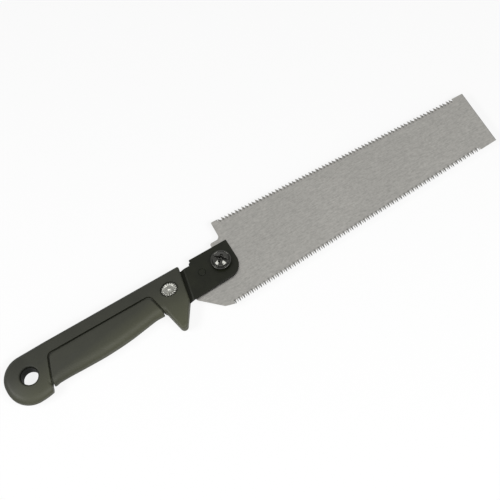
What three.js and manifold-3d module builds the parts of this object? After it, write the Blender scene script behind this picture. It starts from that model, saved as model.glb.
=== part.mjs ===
// Ryoba pull saw with a replaceable two-edged blade. One screw clamps the blade between a
// steel holder and a loose plate, and the holder's tang is riveted inside a two-shell handle
// with an elastomer grip, a beak-shaped finger guard and a hanging hole. Millimetres.
//
// X runs along the blade to its tip, Y across it to the rip teeth, and Z out of the side
// with the screw head. Everything is placed from the clamp screw's axis at the blade's
// mid-plane. At the end the group moves so that its origin is the middle of its underside.

import * as THREE from 'three';
import { mergeVertices } from 'three/addons/utils/BufferGeometryUtils.js';
import Module from 'manifold-3d';

// Clearances
const fitGap = 0.15; // round every piece that sits in a moulded seat
const runningGap = 0.05; // on each side of the blade, between holder and clamp plate
const boreGap = 0.08; // round every shank and pin
const overrun = 1; // how far a cut runs past what it cuts

// Blade body
const bladeThickness = 0.6;
const bladeTaperDegrees = 2.37; // of each toothed edge to the blade's axis
const bladeReach = 217.3; // screw axis to the middle of the toe
const toeLean = 1.7; // the toe's rip corner stands this much ahead of its crosscut corner
const toeTipDrop = 0.5; // toothless toe below the tooth tips

// Rip teeth, on the +Y edge
const ripPitch = 2.75;
const ripDepth = 1.9;
const ripTipHeight = 31.9; // tip line above the axis, at the screw
const ripStart = 13.8;
const ripBareToe = 8; // toothless stretch at the toe, filled up with whole teeth only
const ripTipShare = 0.22; // place of the tip along the pitch, from the handle
const heelCorner = 8.7;
const heelCornerRadius = 0.7;
const heelLean = 0.7;

// Crosscut teeth, on the -Y edge
const crosscutPitch = 1.75;
const crosscutDepth = 2.4;
const crosscutTipHeight = 32.3; // tip line below the axis, at the screw
const crosscutStart = -7;
const crosscutBareToe = 12.8;
const crosscutTipShare = 0.36;
const crosscutShoulderShare = 0.62; // end of the ground top facet along the pitch
const crosscutShoulderDepthShare = 0.72;

// Both tooth rows
const toothSet = 0.15; // every second tooth leans the other way
const toothBevel = 0.35; // the inner face of a tooth ends this much lower

// Blade heel and tail
const ledgeHeight = 16.9;
const ledgeEnd = -0.2;
const ledgeRadius = 1.6;
const ledgeFillet = 3;
const tailHeight = 8;
const tailFillet = 2;
const tailBendGap = 1.08; // on the axis, between the tail's end and the holder's front bend
const tailCornerRadius = 2;
const heelSlopeTopHeight = 13.9; // where the lower heel slope leaves the tail
const heelSlopeTopLead = 0.7; // ahead of the tail's lower corner
const heelSlopeFoot = 14;
const heelSlopeFootHeight = 29.9;
const heelSlopeRadius = 3;

// Holder plate
const plateThickness = 2;
const headEnd = 11.05; // ahead of the screw
const headTop = 13.05;
const headBottom = 13.65; // below the axis, at the screw
const headCornerRadius = 11.25;
const hookX = 19.3; // the hook's rear face, behind the screw
const hookRadius = 0.4;
const neckTop = 9.15;
const neckFillet = 1.2;
const slantDegrees = 11.5; // handle front, bends and the blade's tail share this slant
const neckRun = 0.7; // flat neck between the handle's front and the first bend
const bendRun = 2.3;
const shoulderFront = 39;
const shoulderRear = 43;
const shoulderRadius = 2;
const tangEnd = 98;
const tangTop = 6;
const tangBottom = 8;
const tangRadius = 4;

// Clamp plate, clamp nut, screw, spring washer and locating pin
const clampPlateInset = 0.8;
const clampPlatePinEdge = 2.4; // plate left behind the locating pin
const clampPlateRadius = 1.5;
const screwRadius = 2.95;
const screwHeadRadius = 7;
const screwSkirt = 1.4;
const screwDome = 3.1;
const screwCrownRadius = 2.6; // flat of the crown
const screwTipLength = 0.6; // thread past the nut
const recessReach = 4.3;
const recessFoot = 1.3;
const recessWidth = 1.9;
const recessDepth = 3;
const recessTurnDegrees = 46;
const washerRadius = 5.9;
const washerThickness = 1.5;
const washerSplitWidth = 0.6;
const nutAcrossFlats = 10;
const nutHeight = 2.6;
const nutCollarRadius = 4.2;
const nutCollarShare = 0.8; // of the clamp plate's thickness
const pinX = 15.6;
const pinRadius = 2.6;
const pinProud = 0.2;

// Handle body
const halfThickness = 6;
const spineHeight = 12.2;
const bellyDepth = 17.5;
const pommelX = 154.6;
const pommelRadius = 17.2;
const pommelEdgeRadius = 4;
const handleFront = 27.8; // the spine's front corner, behind the screw
const spineEdgeRadius = 2.5;
const bellyRoundShare = 0.83; // radius of the belly's edges to the half thickness
const frontEdgeRadius = 1.6;
const pommelTailLength = 11.6; // ahead of the pommel's middle
const pommelTailLift = 1.4;
const pommelTailEdge = 1.4;
const pommelTailShares = [0, 0.25, 0.5, 0.75]; // places of its sections before the rounded end

// Hanging hole
const hangLead = 1.3; // ahead of the pommel's middle
const hangY = -5;
const hangRadius = 6;
const hangFlare = 1.6; // round of its rims

// Finger guard
const guardReach = 29.1; // below the axis
const guardTipX = 45.4;
const guardTipRadius = 2.9;
const guardEdgeRadius = 1.7;
const guardRearX = 51.3;
const guardRootDepth = 13;

// Grip sleeve and the groove round it
const grooveWidth = 0.9;
const gripTop = 2.3;
const gripRearLead = 19.2; // the groove's rear corner ahead of the pommel's middle
const gripFrontGap = 7.9; // from the escutcheon's seat back to the groove's front corner
const gripRearSlantDegrees = 19;
const gripFrontSlantDegrees = 13.5;
const gripCornerRadius = 4.5;
const gripWall = 2;
const gripCrown = 0.7; // swell of its sides beyond the shells
const gripShoulder = 3.2; // height over which the swell sets in

// Tang rivet, its escutcheon and its washer
const rivetX = 41.7;
const rivetY = -0.4;
const rivetRadius = 2;
const rivetHeadRadius = 2.5;
const rivetHeadHeight = 1;
const rivetHeadMargin = 0.49; // between the head and the side of the escutcheon's dish
const escutcheonShare = 0.83; // height of the oval to its length
const escutcheonRim = 1.5;
const escutcheonHeight = 1.6;
const escutcheonDish = 0.7;
const escutcheonProud = 0.4;
const escutcheonMargin = 0.8; // dark gap round it
const backWasherRadius = 5;
const backWasherThickness = 0.8;
const backRecessDepth = 2;

// Shell screws and the moulded peg that pins the tang
const rearShellScrewLead = 13.6; // ahead of the pommel's middle
const middleShellScrewGap = 7; // behind the tang's end
const shellScrewY = 6;
const shellScrewRadius = 1.5;
const shellScrewHeadRadius = 2.8;
const shellScrewHeadHeight = 1.6;
const shellScrewSink = 2.2;
const shellScrewBite = 3.6; // depth in the far shell
const shellScrewSlotWidth = 0.9;
const shellScrewSlotDepth = 0.9;
const pegSetback = 10; // from the tang's end
const pegY = -1;
const pegRadius = 2.6;
const pegTipWall = 1.2; // of the left shell, over the peg's end

// How finely curves are cut
const arcStepDegrees = 15;
const circleSides = 32;
const sectionCornerSteps = 5;
const domeSteps = 5;
const edgeSteps = 3;

const wasm = await Module();
wasm.setup();

const bladeTaper = Math.tan(THREE.MathUtils.degToRad(bladeTaperDegrees));
const slant = Math.tan(THREE.MathUtils.degToRad(slantDegrees));
const gripRearSlant = Math.tan(THREE.MathUtils.degToRad(gripRearSlantDegrees));
const gripFrontSlant = Math.tan(THREE.MathUtils.degToRad(gripFrontSlantDegrees));
const holderBack = bladeThickness / 2 + runningGap;
const holderFace = holderBack + plateThickness;
const clampPlateBack = -holderBack - plateThickness;
const nutBack = clampPlateBack - nutHeight;
const slotHalf = Math.max(screwRadius, pinRadius) + boreGap;
const bendRear = handleFront + spineHeight * slant - neckRun;
const bendFront = bendRear - bendRun;
const tailEnd = bendFront - tailBendGap;
const clampPlateRear = pinX + pinRadius + clampPlatePinEdge;
const bellyEdgeRadius = halfThickness * bellyRoundShare;
const hangX = pommelX - hangLead;
const escutcheonFloor = rivetHeadRadius / escutcheonShare + rivetHeadMargin;
const escutcheonReach = escutcheonFloor + escutcheonDish + escutcheonRim;
const gripRear = pommelX - gripRearLead;
const gripFront = rivetX + escutcheonReach + escutcheonMargin + gripFrontGap;
const pegX = tangEnd - pegSetback;
const pegReach = halfThickness - gripWall - pegTipWall;
const shellScrewPlaces = [
  { name: 'rear_shell_screw', x: rearShellScrewLead - pommelX, y: shellScrewY },
  { name: 'middle_shell_screw', x: -tangEnd - middleShellScrewGap, y: shellScrewY },
];

// Outlines, solids and lofts

function point(x, y) {
  return new THREE.Vector2(x, y);
}

// Turns a list of [x, y, radius] corners into an outline with round corners.
function roundCorners(corners) {
  const outline = [];
  corners.forEach(([x, y, radius = 0], i) => {
    const corner = point(x, y);
    const [beforeX, beforeY] = corners[(i + corners.length - 1) % corners.length];
    const [afterX, afterY] = corners[(i + 1) % corners.length];
    const back = point(beforeX, beforeY).sub(corner).normalize();
    const ahead = point(afterX, afterY).sub(corner).normalize();
    if (radius === 0) {
      outline.push(corner);
      return;
    }
    const halfAngle = Math.acos(back.dot(ahead)) / 2;
    const middle = back.clone().add(ahead).normalize();
    const centre = corner.clone().addScaledVector(middle, radius / Math.sin(halfAngle));
    const start = corner.clone().addScaledVector(back, radius / Math.tan(halfAngle)).sub(centre);
    const turn = Math.sign(ahead.cross(back)) * (Math.PI - 2 * halfAngle);
    const steps = Math.ceil(Math.abs(THREE.MathUtils.radToDeg(turn)) / arcStepDegrees);
    for (let k = 0; k <= steps; k += 1) {
      outline.push(start.clone().rotateAround(point(0, 0), (turn * k) / steps).add(centre));
    }
  });
  return outline;
}

// The round tip of an outline that runs straight from one place to a circle and on, anticlockwise
// round it and straight again, to a second place.
function roundTip(before, centre, radius, after) {
  const touching = (place, side) => {
    const away = place.clone().sub(centre);
    return away.angle() + side * Math.acos(radius / away.length());
  };
  const start = touching(before, 1);
  const turn = THREE.MathUtils.euclideanModulo(touching(after, -1) - start, 2 * Math.PI);
  const steps = Math.ceil(THREE.MathUtils.radToDeg(turn) / arcStepDegrees);
  return Array.from({ length: steps + 1 }, (_, k) => (
    point(radius, 0).rotateAround(point(0, 0), start + (turn * k) / steps).add(centre)
  ));
}

function circle(x, y, radius, sides = circleSides) {
  return Array.from({ length: sides }, (_, i) => {
    const angle = (2 * Math.PI * i) / sides;
    return point(x + radius * Math.cos(angle), y + radius * Math.sin(angle));
  });
}

// A bore whose flats, not its corners, stand at the given radius.
function bore(x, y, radius) {
  return circle(x, y, radius / Math.cos(Math.PI / circleSides));
}

// An outline extruded from one height to another, with round edges if asked for.
function plate(outline, bottom, top, holes = [], edgeRadius = 0) {
  const shape = new THREE.Shape(outline);
  holes.forEach((hole) => shape.holes.push(new THREE.Path(hole)));
  const geometry = new THREE.ExtrudeGeometry(shape, {
    depth: top - bottom - 2 * edgeRadius,
    bevelEnabled: edgeRadius > 0,
    bevelThickness: edgeRadius,
    bevelSize: edgeRadius,
    bevelOffset: -edgeRadius,
    bevelSegments: edgeSteps,
  });
  geometry.translate(0, 0, bottom + edgeRadius);
  return geometry;
}

// A profile of [radius, z] points turned about the Z axis through x, y.
function revolve(profile, x = 0, y = 0, share = 1) {
  const geometry = new THREE.LatheGeometry(profile.map(([radius, z]) => point(radius, z)), circleSides);
  geometry.rotateX(Math.PI / 2);
  geometry.scale(1, share, 1);
  geometry.translate(x, y, 0);
  return geometry;
}

function solidOf(geometry) {
  const bare = geometry.clone();
  bare.deleteAttribute('normal');
  bare.deleteAttribute('uv');
  const merged = mergeVertices(bare);
  return new wasm.Manifold(new wasm.Mesh({
    numProp: 3,
    vertProperties: new Float32Array(merged.attributes.position.array),
    triVerts: new Uint32Array(merged.index.array),
  }));
}

function geometryOf(solid) {
  const mesh = solid.getMesh();
  const geometry = new THREE.BufferGeometry();
  geometry.setAttribute('position', new THREE.BufferAttribute(mesh.vertProperties, 3));
  geometry.setIndex(new THREE.BufferAttribute(mesh.triVerts, 1));
  geometry.computeVertexNormals();
  return geometry;
}

// A section across the handle, from its bottom point to its top point, with flat faces
// and a corner radius of its own at the spine and at the belly.
function handleSection({ top, bottom, halfWidth, topRadius, bottomRadius }) {
  const up = top.clone().sub(bottom);
  const height = up.length();
  up.normalize();
  const corners = [
    [height - topRadius, halfWidth - topRadius, topRadius, 0],
    [height - topRadius, topRadius - halfWidth, topRadius, 1],
    [bottomRadius, bottomRadius - halfWidth, bottomRadius, 2],
    [bottomRadius, halfWidth - bottomRadius, bottomRadius, 3],
  ];
  const ring = [];
  corners.forEach(([along, across, radius, quarter]) => {
    for (let k = 0; k <= sectionCornerSteps; k += 1) {
      const angle = (Math.PI / 2) * (1 - quarter - k / sectionCornerSteps);
      const place = bottom.clone().addScaledVector(up, along + radius * Math.cos(angle));
      ring.push(new THREE.Vector3(place.x, place.y, across + radius * Math.sin(angle)));
    }
  });
  return ring;
}

// A closed skin through a row of sections, each a ring of equally many points.
function loft(rings) {
  const size = rings[0].length;
  const vertices = rings.flat();
  const faces = [];
  for (let i = 0; i + 1 < rings.length; i += 1) {
    for (let j = 0; j < size; j += 1) {
      const here = i * size + j;
      const beside = i * size + ((j + 1) % size);
      faces.push(here, beside + size, beside, here, here + size, beside + size);
    }
  }
  const last = (rings.length - 1) * size;
  for (let j = 1; j + 1 < size; j += 1) {
    faces.push(0, j, j + 1, last, last + j + 1, last + j);
  }
  const geometry = new THREE.BufferGeometry().setFromPoints(vertices);
  geometry.setIndex(faces);
  return geometry;
}

// Blade

function ripTip(x) {
  return ripTipHeight - x * bladeTaper;
}

function crosscutTip(x) {
  return x * bladeTaper - crosscutTipHeight;
}

function tailRear(y) {
  return y * slant - tailEnd;
}

// As many whole teeth along one edge as fit between two places. Each stands on the gullet
// line between two roots. A tooth's profile is a list of [place along the pitch, share of
// the depth] points.
function toothRow(start, end, pitch, heightAt, depth, profile) {
  const step = pitch * Math.cos(THREE.MathUtils.degToRad(bladeTaperDegrees));
  return Array.from({ length: Math.floor((end - start) / step) }, (_, i) => {
    const x = start + i * step;
    const outline = profile.map(([place, height]) => {
      const tipX = x + place * step;
      return point(tipX, heightAt(tipX) - (1 - height) * depth);
    });
    return { from: x, to: x + step, outline, side: i % 2 ? 1 : -1 };
  });
}

function bladeGeometry() {
  const ripGullet = (x) => ripTip(x) - ripDepth;
  const crosscutGullet = (x) => crosscutTip(x) + crosscutDepth;
  const ripProfile = [[ripTipShare, 1]];
  const crosscutProfile = [[crosscutTipShare, 1], [crosscutShoulderShare, crosscutShoulderDepthShare]];
  const toeTop = bladeReach + toeLean / 2;
  const toeBottom = bladeReach - toeLean / 2;
  const ripTeeth = toothRow(ripStart, toeTop - ripBareToe, ripPitch, ripTip, ripDepth, ripProfile);
  const crosscutTeeth = toothRow(
    crosscutStart, toeBottom - crosscutBareToe, crosscutPitch, crosscutTip, -crosscutDepth, crosscutProfile,
  );
  const ripEnd = ripTeeth[ripTeeth.length - 1].to;
  const crosscutEnd = crosscutTeeth[crosscutTeeth.length - 1].to;
  const heelTop = ripTip(heelCorner) - toeTipDrop;

  // The lower edge from heel to toe, the upper edge back to the heel, then the tail
  const lowerHeel = roundCorners([
    [tailRear(-slotHalf), -slotHalf],
    [tailRear(-heelSlopeTopHeight), -heelSlopeTopHeight, tailCornerRadius],
    [tailRear(-heelSlopeTopHeight) + heelSlopeTopLead, -heelSlopeTopHeight - tailCornerRadius],
    [-heelSlopeFoot, -heelSlopeFootHeight, heelSlopeRadius],
    [crosscutStart, crosscutTip(crosscutStart) + toeTipDrop],
  ]);
  const toe = [
    point(crosscutEnd, crosscutTip(crosscutEnd) + toeTipDrop),
    point(toeBottom, crosscutTip(toeBottom) + toeTipDrop),
    point(toeTop, ripTip(toeTop) - toeTipDrop),
    point(ripEnd, ripTip(ripEnd) - toeTipDrop),
  ];
  const upperHeel = roundCorners([
    [ripStart, ripTip(ripStart) - toeTipDrop],
    [heelCorner, heelTop, heelCornerRadius],
    [heelCorner - heelLean, ledgeHeight, ledgeFillet],
    [ledgeEnd, ledgeHeight, ledgeRadius],
    [ledgeEnd, tailHeight, tailFillet],
    [tailRear(tailHeight), tailHeight, tailCornerRadius],
    [tailRear(slotHalf), slotHalf],
  ]);
  const slotEnd = circle(0, 0, slotHalf)
    .filter(({ x }) => x > 0)
    .sort((a, b) => b.y - a.y);

  const contour = [];
  const teeth = new Map();
  const addRow = (row, gullet, reversed) => {
    const ordered = reversed ? [...row].reverse() : row;
    ordered.forEach((tooth) => {
      const root = reversed ? tooth.to : tooth.from;
      const outline = reversed ? [...tooth.outline].reverse() : tooth.outline;
      teeth.set(contour.length, { ...tooth, outline });
      contour.push(point(root, gullet(root)));
    });
    const end = reversed ? row[0].from : row[row.length - 1].to;
    contour.push(point(end, gullet(end)));
  };
  contour.push(...lowerHeel);
  addRow(crosscutTeeth, crosscutGullet, false);
  contour.push(...toe);
  addRow(ripTeeth, ripGullet, true);
  contour.push(...upperHeel, point(0, slotHalf), ...slotEnd, point(0, -slotHalf));

  return toothedPlate(contour, teeth, bladeThickness);
}

// A plate with the given outline. On the edges that the map names it carries a tooth, bent
// to one side by the set and ground away on its inner face.
function toothedPlate(contour, teeth, thickness) {
  const size = contour.length;
  const half = thickness / 2;
  const vertices = [];
  contour.forEach(({ x, y }) => vertices.push(new THREE.Vector3(x, y, half)));
  contour.forEach(({ x, y }) => vertices.push(new THREE.Vector3(x, y, -half)));
  const faces = [];
  THREE.ShapeUtils.triangulateShape(contour, []).forEach(([a, b, c]) => {
    faces.push(a, b, c, size + c, size + b, size + a);
  });
  const wall = (frontA, backA, frontB, backB) => {
    faces.push(backA, backB, frontB, backA, frontB, frontA);
  };
  contour.forEach((root, i) => {
    const next = (i + 1) % size;
    const tooth = teeth.get(i);
    if (!tooth) {
      wall(i, size + i, next, size + next);
      return;
    }
    const first = vertices.length;
    const towardBlade = -Math.sign(tooth.outline[0].y);
    const lean = tooth.side * toothSet;
    tooth.outline.forEach(({ x, y }) => {
      const inner = y + towardBlade * toothBevel;
      vertices.push(new THREE.Vector3(x, tooth.side > 0 ? y : inner, half + lean));
      vertices.push(new THREE.Vector3(x, tooth.side > 0 ? inner : y, lean - half));
    });
    let front = i;
    let back = size + i;
    tooth.outline.forEach((_, k) => {
      const tipFront = first + 2 * k;
      const tipBack = tipFront + 1;
      wall(front, back, tipFront, tipBack);
      faces.push(next, front, tipFront, size + next, tipBack, back);
      front = tipFront;
      back = tipBack;
    });
    wall(front, back, next, size + next);
  });
  const geometry = new THREE.BufferGeometry().setFromPoints(vertices);
  geometry.setIndex(faces);
  return geometry;
}

// Holder

function headBottomAt(x) {
  return x * bladeTaper - headBottom;
}

// The tang lies in the handle's mid-plane; two slanted bends lift the head so that the
// blade's mid-plane is the handle's.
function holderSolid() {
  const bendAngle = Math.atan2(holderBack + plateThickness / 2, bendRun);
  const shift = plateThickness * Math.tan(bendAngle / 2);
  const half = plateThickness / 2;
  const reach = headTop + headBottom;
  const profile = [
    point(-tangEnd - reach, -half),
    point(-bendRear, -half),
    point(-bendFront, holderBack),
    point(headEnd + reach, holderBack),
    point(headEnd + reach, holderFace),
    point(-bendFront - shift, holderFace),
    point(-bendRear - shift, half),
    point(-tangEnd - reach, half),
  ];
  const strip = plate(profile, -reach, reach);
  strip.rotateX(Math.PI / 2);
  strip.applyMatrix4(new THREE.Matrix4().makeShear(0, 0, slant, 0, 0, 0));
  const outline = roundCorners([
    [-tangEnd, -tangBottom, tangRadius],
    [-shoulderRear, -tangBottom, shoulderRadius],
    [-shoulderFront, headBottomAt(-shoulderFront), shoulderRadius],
    [headEnd, headBottomAt(headEnd), headCornerRadius],
    [headEnd, headTop],
    [-hookX, headTop, hookRadius],
    [-hookX, neckTop, neckFillet],
    [-shoulderFront, neckTop, shoulderRadius],
    [-shoulderRear, tangTop, shoulderRadius],
    [-tangEnd, tangTop, tangRadius],
  ]);
  const holes = [
    bore(0, 0, screwRadius + boreGap),
    bore(-pinX, 0, pinRadius + boreGap),
    bore(-rivetX, rivetY, rivetRadius + boreGap),
    bore(-pegX, pegY, pegRadius + boreGap),
  ];
  return solidOf(strip).intersect(solidOf(plate(outline, -plateThickness, holderFace + overrun, holes)));
}

function locatingPinGeometry() {
  return plate(circle(-pinX, 0, pinRadius), clampPlateBack - pinProud, holderFace + pinProud);
}

// Clamp: plate, nut, screw and spring washer

function clampPlateGeometry() {
  const bottomAt = (x) => headBottomAt(x) + clampPlateInset;
  const outline = roundCorners([
    [-clampPlateRear, bottomAt(-clampPlateRear), clampPlateRadius],
    [headEnd - clampPlateInset, bottomAt(headEnd), headCornerRadius - clampPlateInset],
    [headEnd - clampPlateInset, headTop - clampPlateInset, clampPlateRadius],
    [-clampPlateRear, headTop - clampPlateInset, clampPlateRadius],
  ]);
  const holes = [
    bore(0, 0, nutCollarRadius + boreGap),
    bore(-pinX, 0, pinRadius + boreGap),
  ];
  return plate(outline, clampPlateBack, -holderBack, holes);
}

function nutSolid() {
  const hexagon = circle(0, 0, nutAcrossFlats / 2 / Math.cos(Math.PI / 6), 6);
  const hole = bore(0, 0, screwRadius + boreGap);
  const body = plate(hexagon, nutBack, clampPlateBack, [hole]);
  const collarTop = clampPlateBack + nutCollarShare * plateThickness;
  const collar = plate(circle(0, 0, nutCollarRadius), clampPlateBack - overrun, collarTop, [hole]);
  return solidOf(body).add(solidOf(collar));
}

function clampScrewSolid() {
  const seat = holderFace + washerThickness;
  const skirtTop = seat + screwSkirt;
  const crown = skirtTop + screwDome;
  const dome = Array.from({ length: domeSteps + 1 }, (_, k) => {
    const angle = (Math.PI / 2) * (k / domeSteps);
    const across = screwCrownRadius + (screwHeadRadius - screwCrownRadius) * Math.cos(angle);
    return [across, skirtTop + screwDome * Math.sin(angle)];
  });
  const screwEnd = nutBack - screwTipLength;
  const profile = [
    [0, screwEnd],
    [screwRadius - screwTipLength / 2, screwEnd],
    [screwRadius, screwEnd + screwTipLength / 2],
    [screwRadius, seat],
    [screwHeadRadius, seat],
    ...dome,
    [0, crown],
  ];
  const arm = plate([
    point(-recessReach, -recessWidth / 2),
    point(recessReach, -recessWidth / 2),
    point(recessReach, recessWidth / 2),
    point(-recessReach, recessWidth / 2),
  ], crown - recessDepth, crown + overrun);
  const cross = solidOf(arm).add(solidOf(arm.clone().rotateZ(Math.PI / 2)));
  const cone = revolve([
    [0, crown - recessDepth],
    [recessFoot, crown - recessDepth],
    [recessReach, crown],
    [recessReach, crown + overrun],
    [0, crown + overrun],
  ]);
  const recess = cross.intersect(solidOf(cone)).rotate([0, 0, recessTurnDegrees]);
  return solidOf(revolve(profile)).subtract(recess);
}

function springWasherGeometry() {
  const inner = screwRadius + boreGap;
  const halfSplit = Math.asin(washerSplitWidth / 2 / inner);
  const steps = Array.from({ length: circleSides }, (_, i) => (
    halfSplit + ((2 * Math.PI - 2 * halfSplit) * i) / (circleSides - 1)
  ));
  const outer = steps.map((angle) => point(washerRadius * Math.cos(angle), washerRadius * Math.sin(angle)));
  const back = [...steps].reverse().map((angle) => point(inner * Math.cos(angle), inner * Math.sin(angle)));
  return plate([...outer, ...back], holderFace, holderFace + washerThickness);
}

// Handle body

const bodyLength = pommelX - handleFront;

// Places along the belly from pommel to handle front, with the belly's depth at each.
const bellyShares = [
  [0, 0.97], [0.06, 1], [0.112, 1.03], [0.145, 0.995], [0.21, 0.985], [0.3, 0.995], [0.42, 1],
  [0.51, 0.975], [0.6, 0.925], [0.68, 0.85], [0.74, 0.79], [0.79, 0.75], [0.84, 0.76], [0.92, 0.8],
];
const bellyFrontShare = 0.82;
const gripEndShares = [0.15, 0.82]; // stretch of the handle over which the grip swells

function bellyAt(share) {
  const places = [...bellyShares, [1, bellyFrontShare]];
  const next = Math.max(1, places.findIndex(([along]) => along >= share));
  const [alongBefore, depthBefore] = places[next - 1];
  const [alongAfter, depthAfter] = places[next];
  const mix = (share - alongBefore) / (alongAfter - alongBefore);
  return -bellyDepth * THREE.MathUtils.lerp(depthBefore, depthAfter, mix);
}

// A section of the handle at a share of the way from the pommel's middle to the front. The
// sections lean more and more, up to the slant of the front.
function bodySection(share, inset, swell = 0) {
  const bottomFront = -handleFront - (spineHeight + bellyDepth * bellyFrontShare) * slant;
  const top = point(THREE.MathUtils.lerp(-pommelX, -handleFront, share), spineHeight);
  const bottom = point(THREE.MathUtils.lerp(-pommelX, bottomFront, share), bellyAt(share));
  const down = bottom.clone().sub(top).normalize();
  const blend = Math.min(1, share / gripEndShares[0]);
  const topRadius = THREE.MathUtils.lerp(pommelEdgeRadius, spineEdgeRadius, blend);
  const bottomRadius = THREE.MathUtils.lerp(pommelEdgeRadius, bellyEdgeRadius, blend);
  if (swell > 0) {
    top.addScaledVector(down, spineHeight - gripTop - gripShoulder);
  }
  return handleSection({
    top: top.addScaledVector(down, inset),
    bottom: bottom.addScaledVector(down, -inset),
    halfWidth: halfThickness - inset + swell,
    topRadius: (swell > 0 ? halfThickness : topRadius) - inset,
    bottomRadius: bottomRadius - inset,
  });
}

// The handle between pommel and front, drawn in by the same inset on every side.
function handleBody(inset = 0) {
  const round = frontEdgeRadius * (1 - inset / spineEdgeRadius);
  const rings = bellyShares.map(([share]) => bodySection(share, inset));
  for (let k = 0; k <= edgeSteps; k += 1) {
    const angle = (Math.PI / 2) * (k / edgeSteps);
    const share = 1 - (round / bodyLength) * (1 - Math.sin(angle));
    rings.push(bodySection(share, inset + round * (1 - Math.cos(angle))));
  }
  return solidOf(loft(rings));
}

// The grip's outside: the same belly, with sides that swell beyond the shells.
function gripBody() {
  const [rearShare, frontShare] = gripEndShares;
  const rings = bellyShares.map(([share]) => {
    const along = THREE.MathUtils.clamp((share - rearShare) / (frontShare - rearShare), 0, 1);
    return bodySection(share, 0, fitGap + gripCrown * Math.sin(Math.PI * along));
  });
  return solidOf(loft(rings));
}

// The pommel is a thick disc round the hanging hole, with a short tail under the grip's end.
function pommelSolid() {
  const centreY = spineHeight - pommelRadius;
  const edge = Array.from({ length: sectionCornerSteps + 1 }, (_, k) => {
    const angle = (Math.PI / 2) * (k / sectionCornerSteps);
    return [
      pommelRadius - pommelEdgeRadius * (1 - Math.sin(angle)),
      halfThickness - pommelEdgeRadius * (1 - Math.cos(angle)),
    ];
  });
  const profile = [
    [0, -halfThickness],
    ...edge.map(([radius, z]) => [radius, -z]),
    ...[...edge].reverse(),
    [0, halfThickness],
  ];
  const disc = solidOf(revolve(profile, -pommelX, centreY));
  const tailStation = (share, shrink) => handleSection({
    top: point(-pommelX + share * pommelTailLength, centreY + pommelRadius - pommelEdgeRadius),
    bottom: point(
      -pommelX + share * pommelTailLength,
      centreY - pommelRadius + shrink + pommelTailLift * share * share,
    ),
    halfWidth: halfThickness - shrink,
    topRadius: fitGap,
    bottomRadius: pommelEdgeRadius - shrink,
  });
  const rings = pommelTailShares.map((share) => tailStation(share, 0));
  for (let k = 0; k <= edgeSteps; k += 1) {
    const angle = (Math.PI / 2) * (k / edgeSteps);
    const share = 1 - (pommelTailEdge / pommelTailLength) * (1 - Math.sin(angle));
    rings.push(tailStation(share, pommelTailEdge * (1 - Math.cos(angle))));
  }
  return disc.add(solidOf(loft(rings)));
}

function guardSolid() {
  const frontAt = (y) => -handleFront - (spineHeight - y) * slant;
  const rearRoot = point(-guardRearX, -guardRootDepth + overrun);
  const frontRoot = point(frontAt(-guardRootDepth), -guardRootDepth);
  const outline = [
    rearRoot,
    ...roundTip(rearRoot, point(-guardTipX, guardTipRadius - guardReach), guardTipRadius, frontRoot),
    frontRoot,
    point(frontAt(0), 0),
    point(-guardRearX - overrun, 0),
  ];
  return solidOf(plate(outline, -halfThickness, halfThickness, [], guardEdgeRadius));
}

// The side outline of the grip, drawn in or out from the groove's middle line.
function gripCutter(margin) {
  const depth = gripTop + bellyDepth + pommelEdgeRadius;
  const corner = (slope) => margin / Math.cos(Math.atan(slope)) - margin * slope;
  const outline = roundCorners([
    [-gripRear - corner(gripRearSlant) - (depth + margin) * gripRearSlant, gripTop - depth],
    [-gripFront + corner(gripFrontSlant) + (depth + margin) * gripFrontSlant, gripTop - depth],
    [-gripFront + corner(gripFrontSlant), gripTop + margin, gripCornerRadius],
    [-gripRear - corner(gripRearSlant), gripTop + margin, gripCornerRadius],
  ]);
  const reach = halfThickness + gripCrown + overrun;
  return solidOf(plate(outline, -reach, reach));
}

function gripSleeveSolid() {
  return gripBody().intersect(gripCutter(-grooveWidth / 2)).subtract(handleBody(gripWall - fitGap));
}

function hangingHoleCutter() {
  const rim = hangRadius + hangFlare;
  const bell = Array.from({ length: edgeSteps + 1 }, (_, k) => {
    const angle = (Math.PI / 2) * (k / edgeSteps);
    return [
      hangRadius + hangFlare * (1 - Math.cos(angle)),
      halfThickness - hangFlare * (1 - Math.sin(angle)),
    ];
  });
  const profile = [
    [0, -halfThickness - overrun],
    [rim, -halfThickness - overrun],
    ...[...bell].reverse().map(([radius, z]) => [radius, -z]),
    ...bell,
    [rim, halfThickness + overrun],
    [0, halfThickness + overrun],
  ];
  return solidOf(revolve(profile, -hangX, hangY));
}

// The room in the two shells for the tang and the neck behind the handle's front.
function tangPocket() {
  const bottomAt = (x) => headBottomAt(x) - fitGap;
  const outline = roundCorners([
    [-tangEnd - fitGap, -tangBottom - fitGap, tangRadius],
    [-shoulderRear - fitGap, -tangBottom - fitGap, shoulderRadius],
    [-shoulderFront - fitGap, bottomAt(-shoulderFront), shoulderRadius],
    [-handleFront + overrun, bottomAt(-handleFront)],
    [-handleFront + overrun, neckTop + fitGap],
    [-shoulderFront - fitGap, neckTop + fitGap, shoulderRadius],
    [-shoulderRear - fitGap, tangTop + fitGap, shoulderRadius],
    [-tangEnd - fitGap, tangTop + fitGap, tangRadius],
  ]);
  const half = plateThickness / 2 + fitGap;
  return solidOf(plate(outline, -half, half));
}

function drill(x, y, radius, bottom, top) {
  return solidOf(plate(bore(x, y, radius), bottom, top));
}

// Everything that both shells are cut from, before they part at the mid-plane.
function handleBlank() {
  const past = halfThickness + overrun;
  return handleBody()
    .add(pommelSolid())
    .add(guardSolid())
    .subtract(gripCutter(grooveWidth / 2))
    .add(handleBody(gripWall))
    .subtract(hangingHoleCutter())
    .subtract(tangPocket())
    .subtract(drill(-rivetX, rivetY, rivetRadius + boreGap, -past, past));
}

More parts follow.
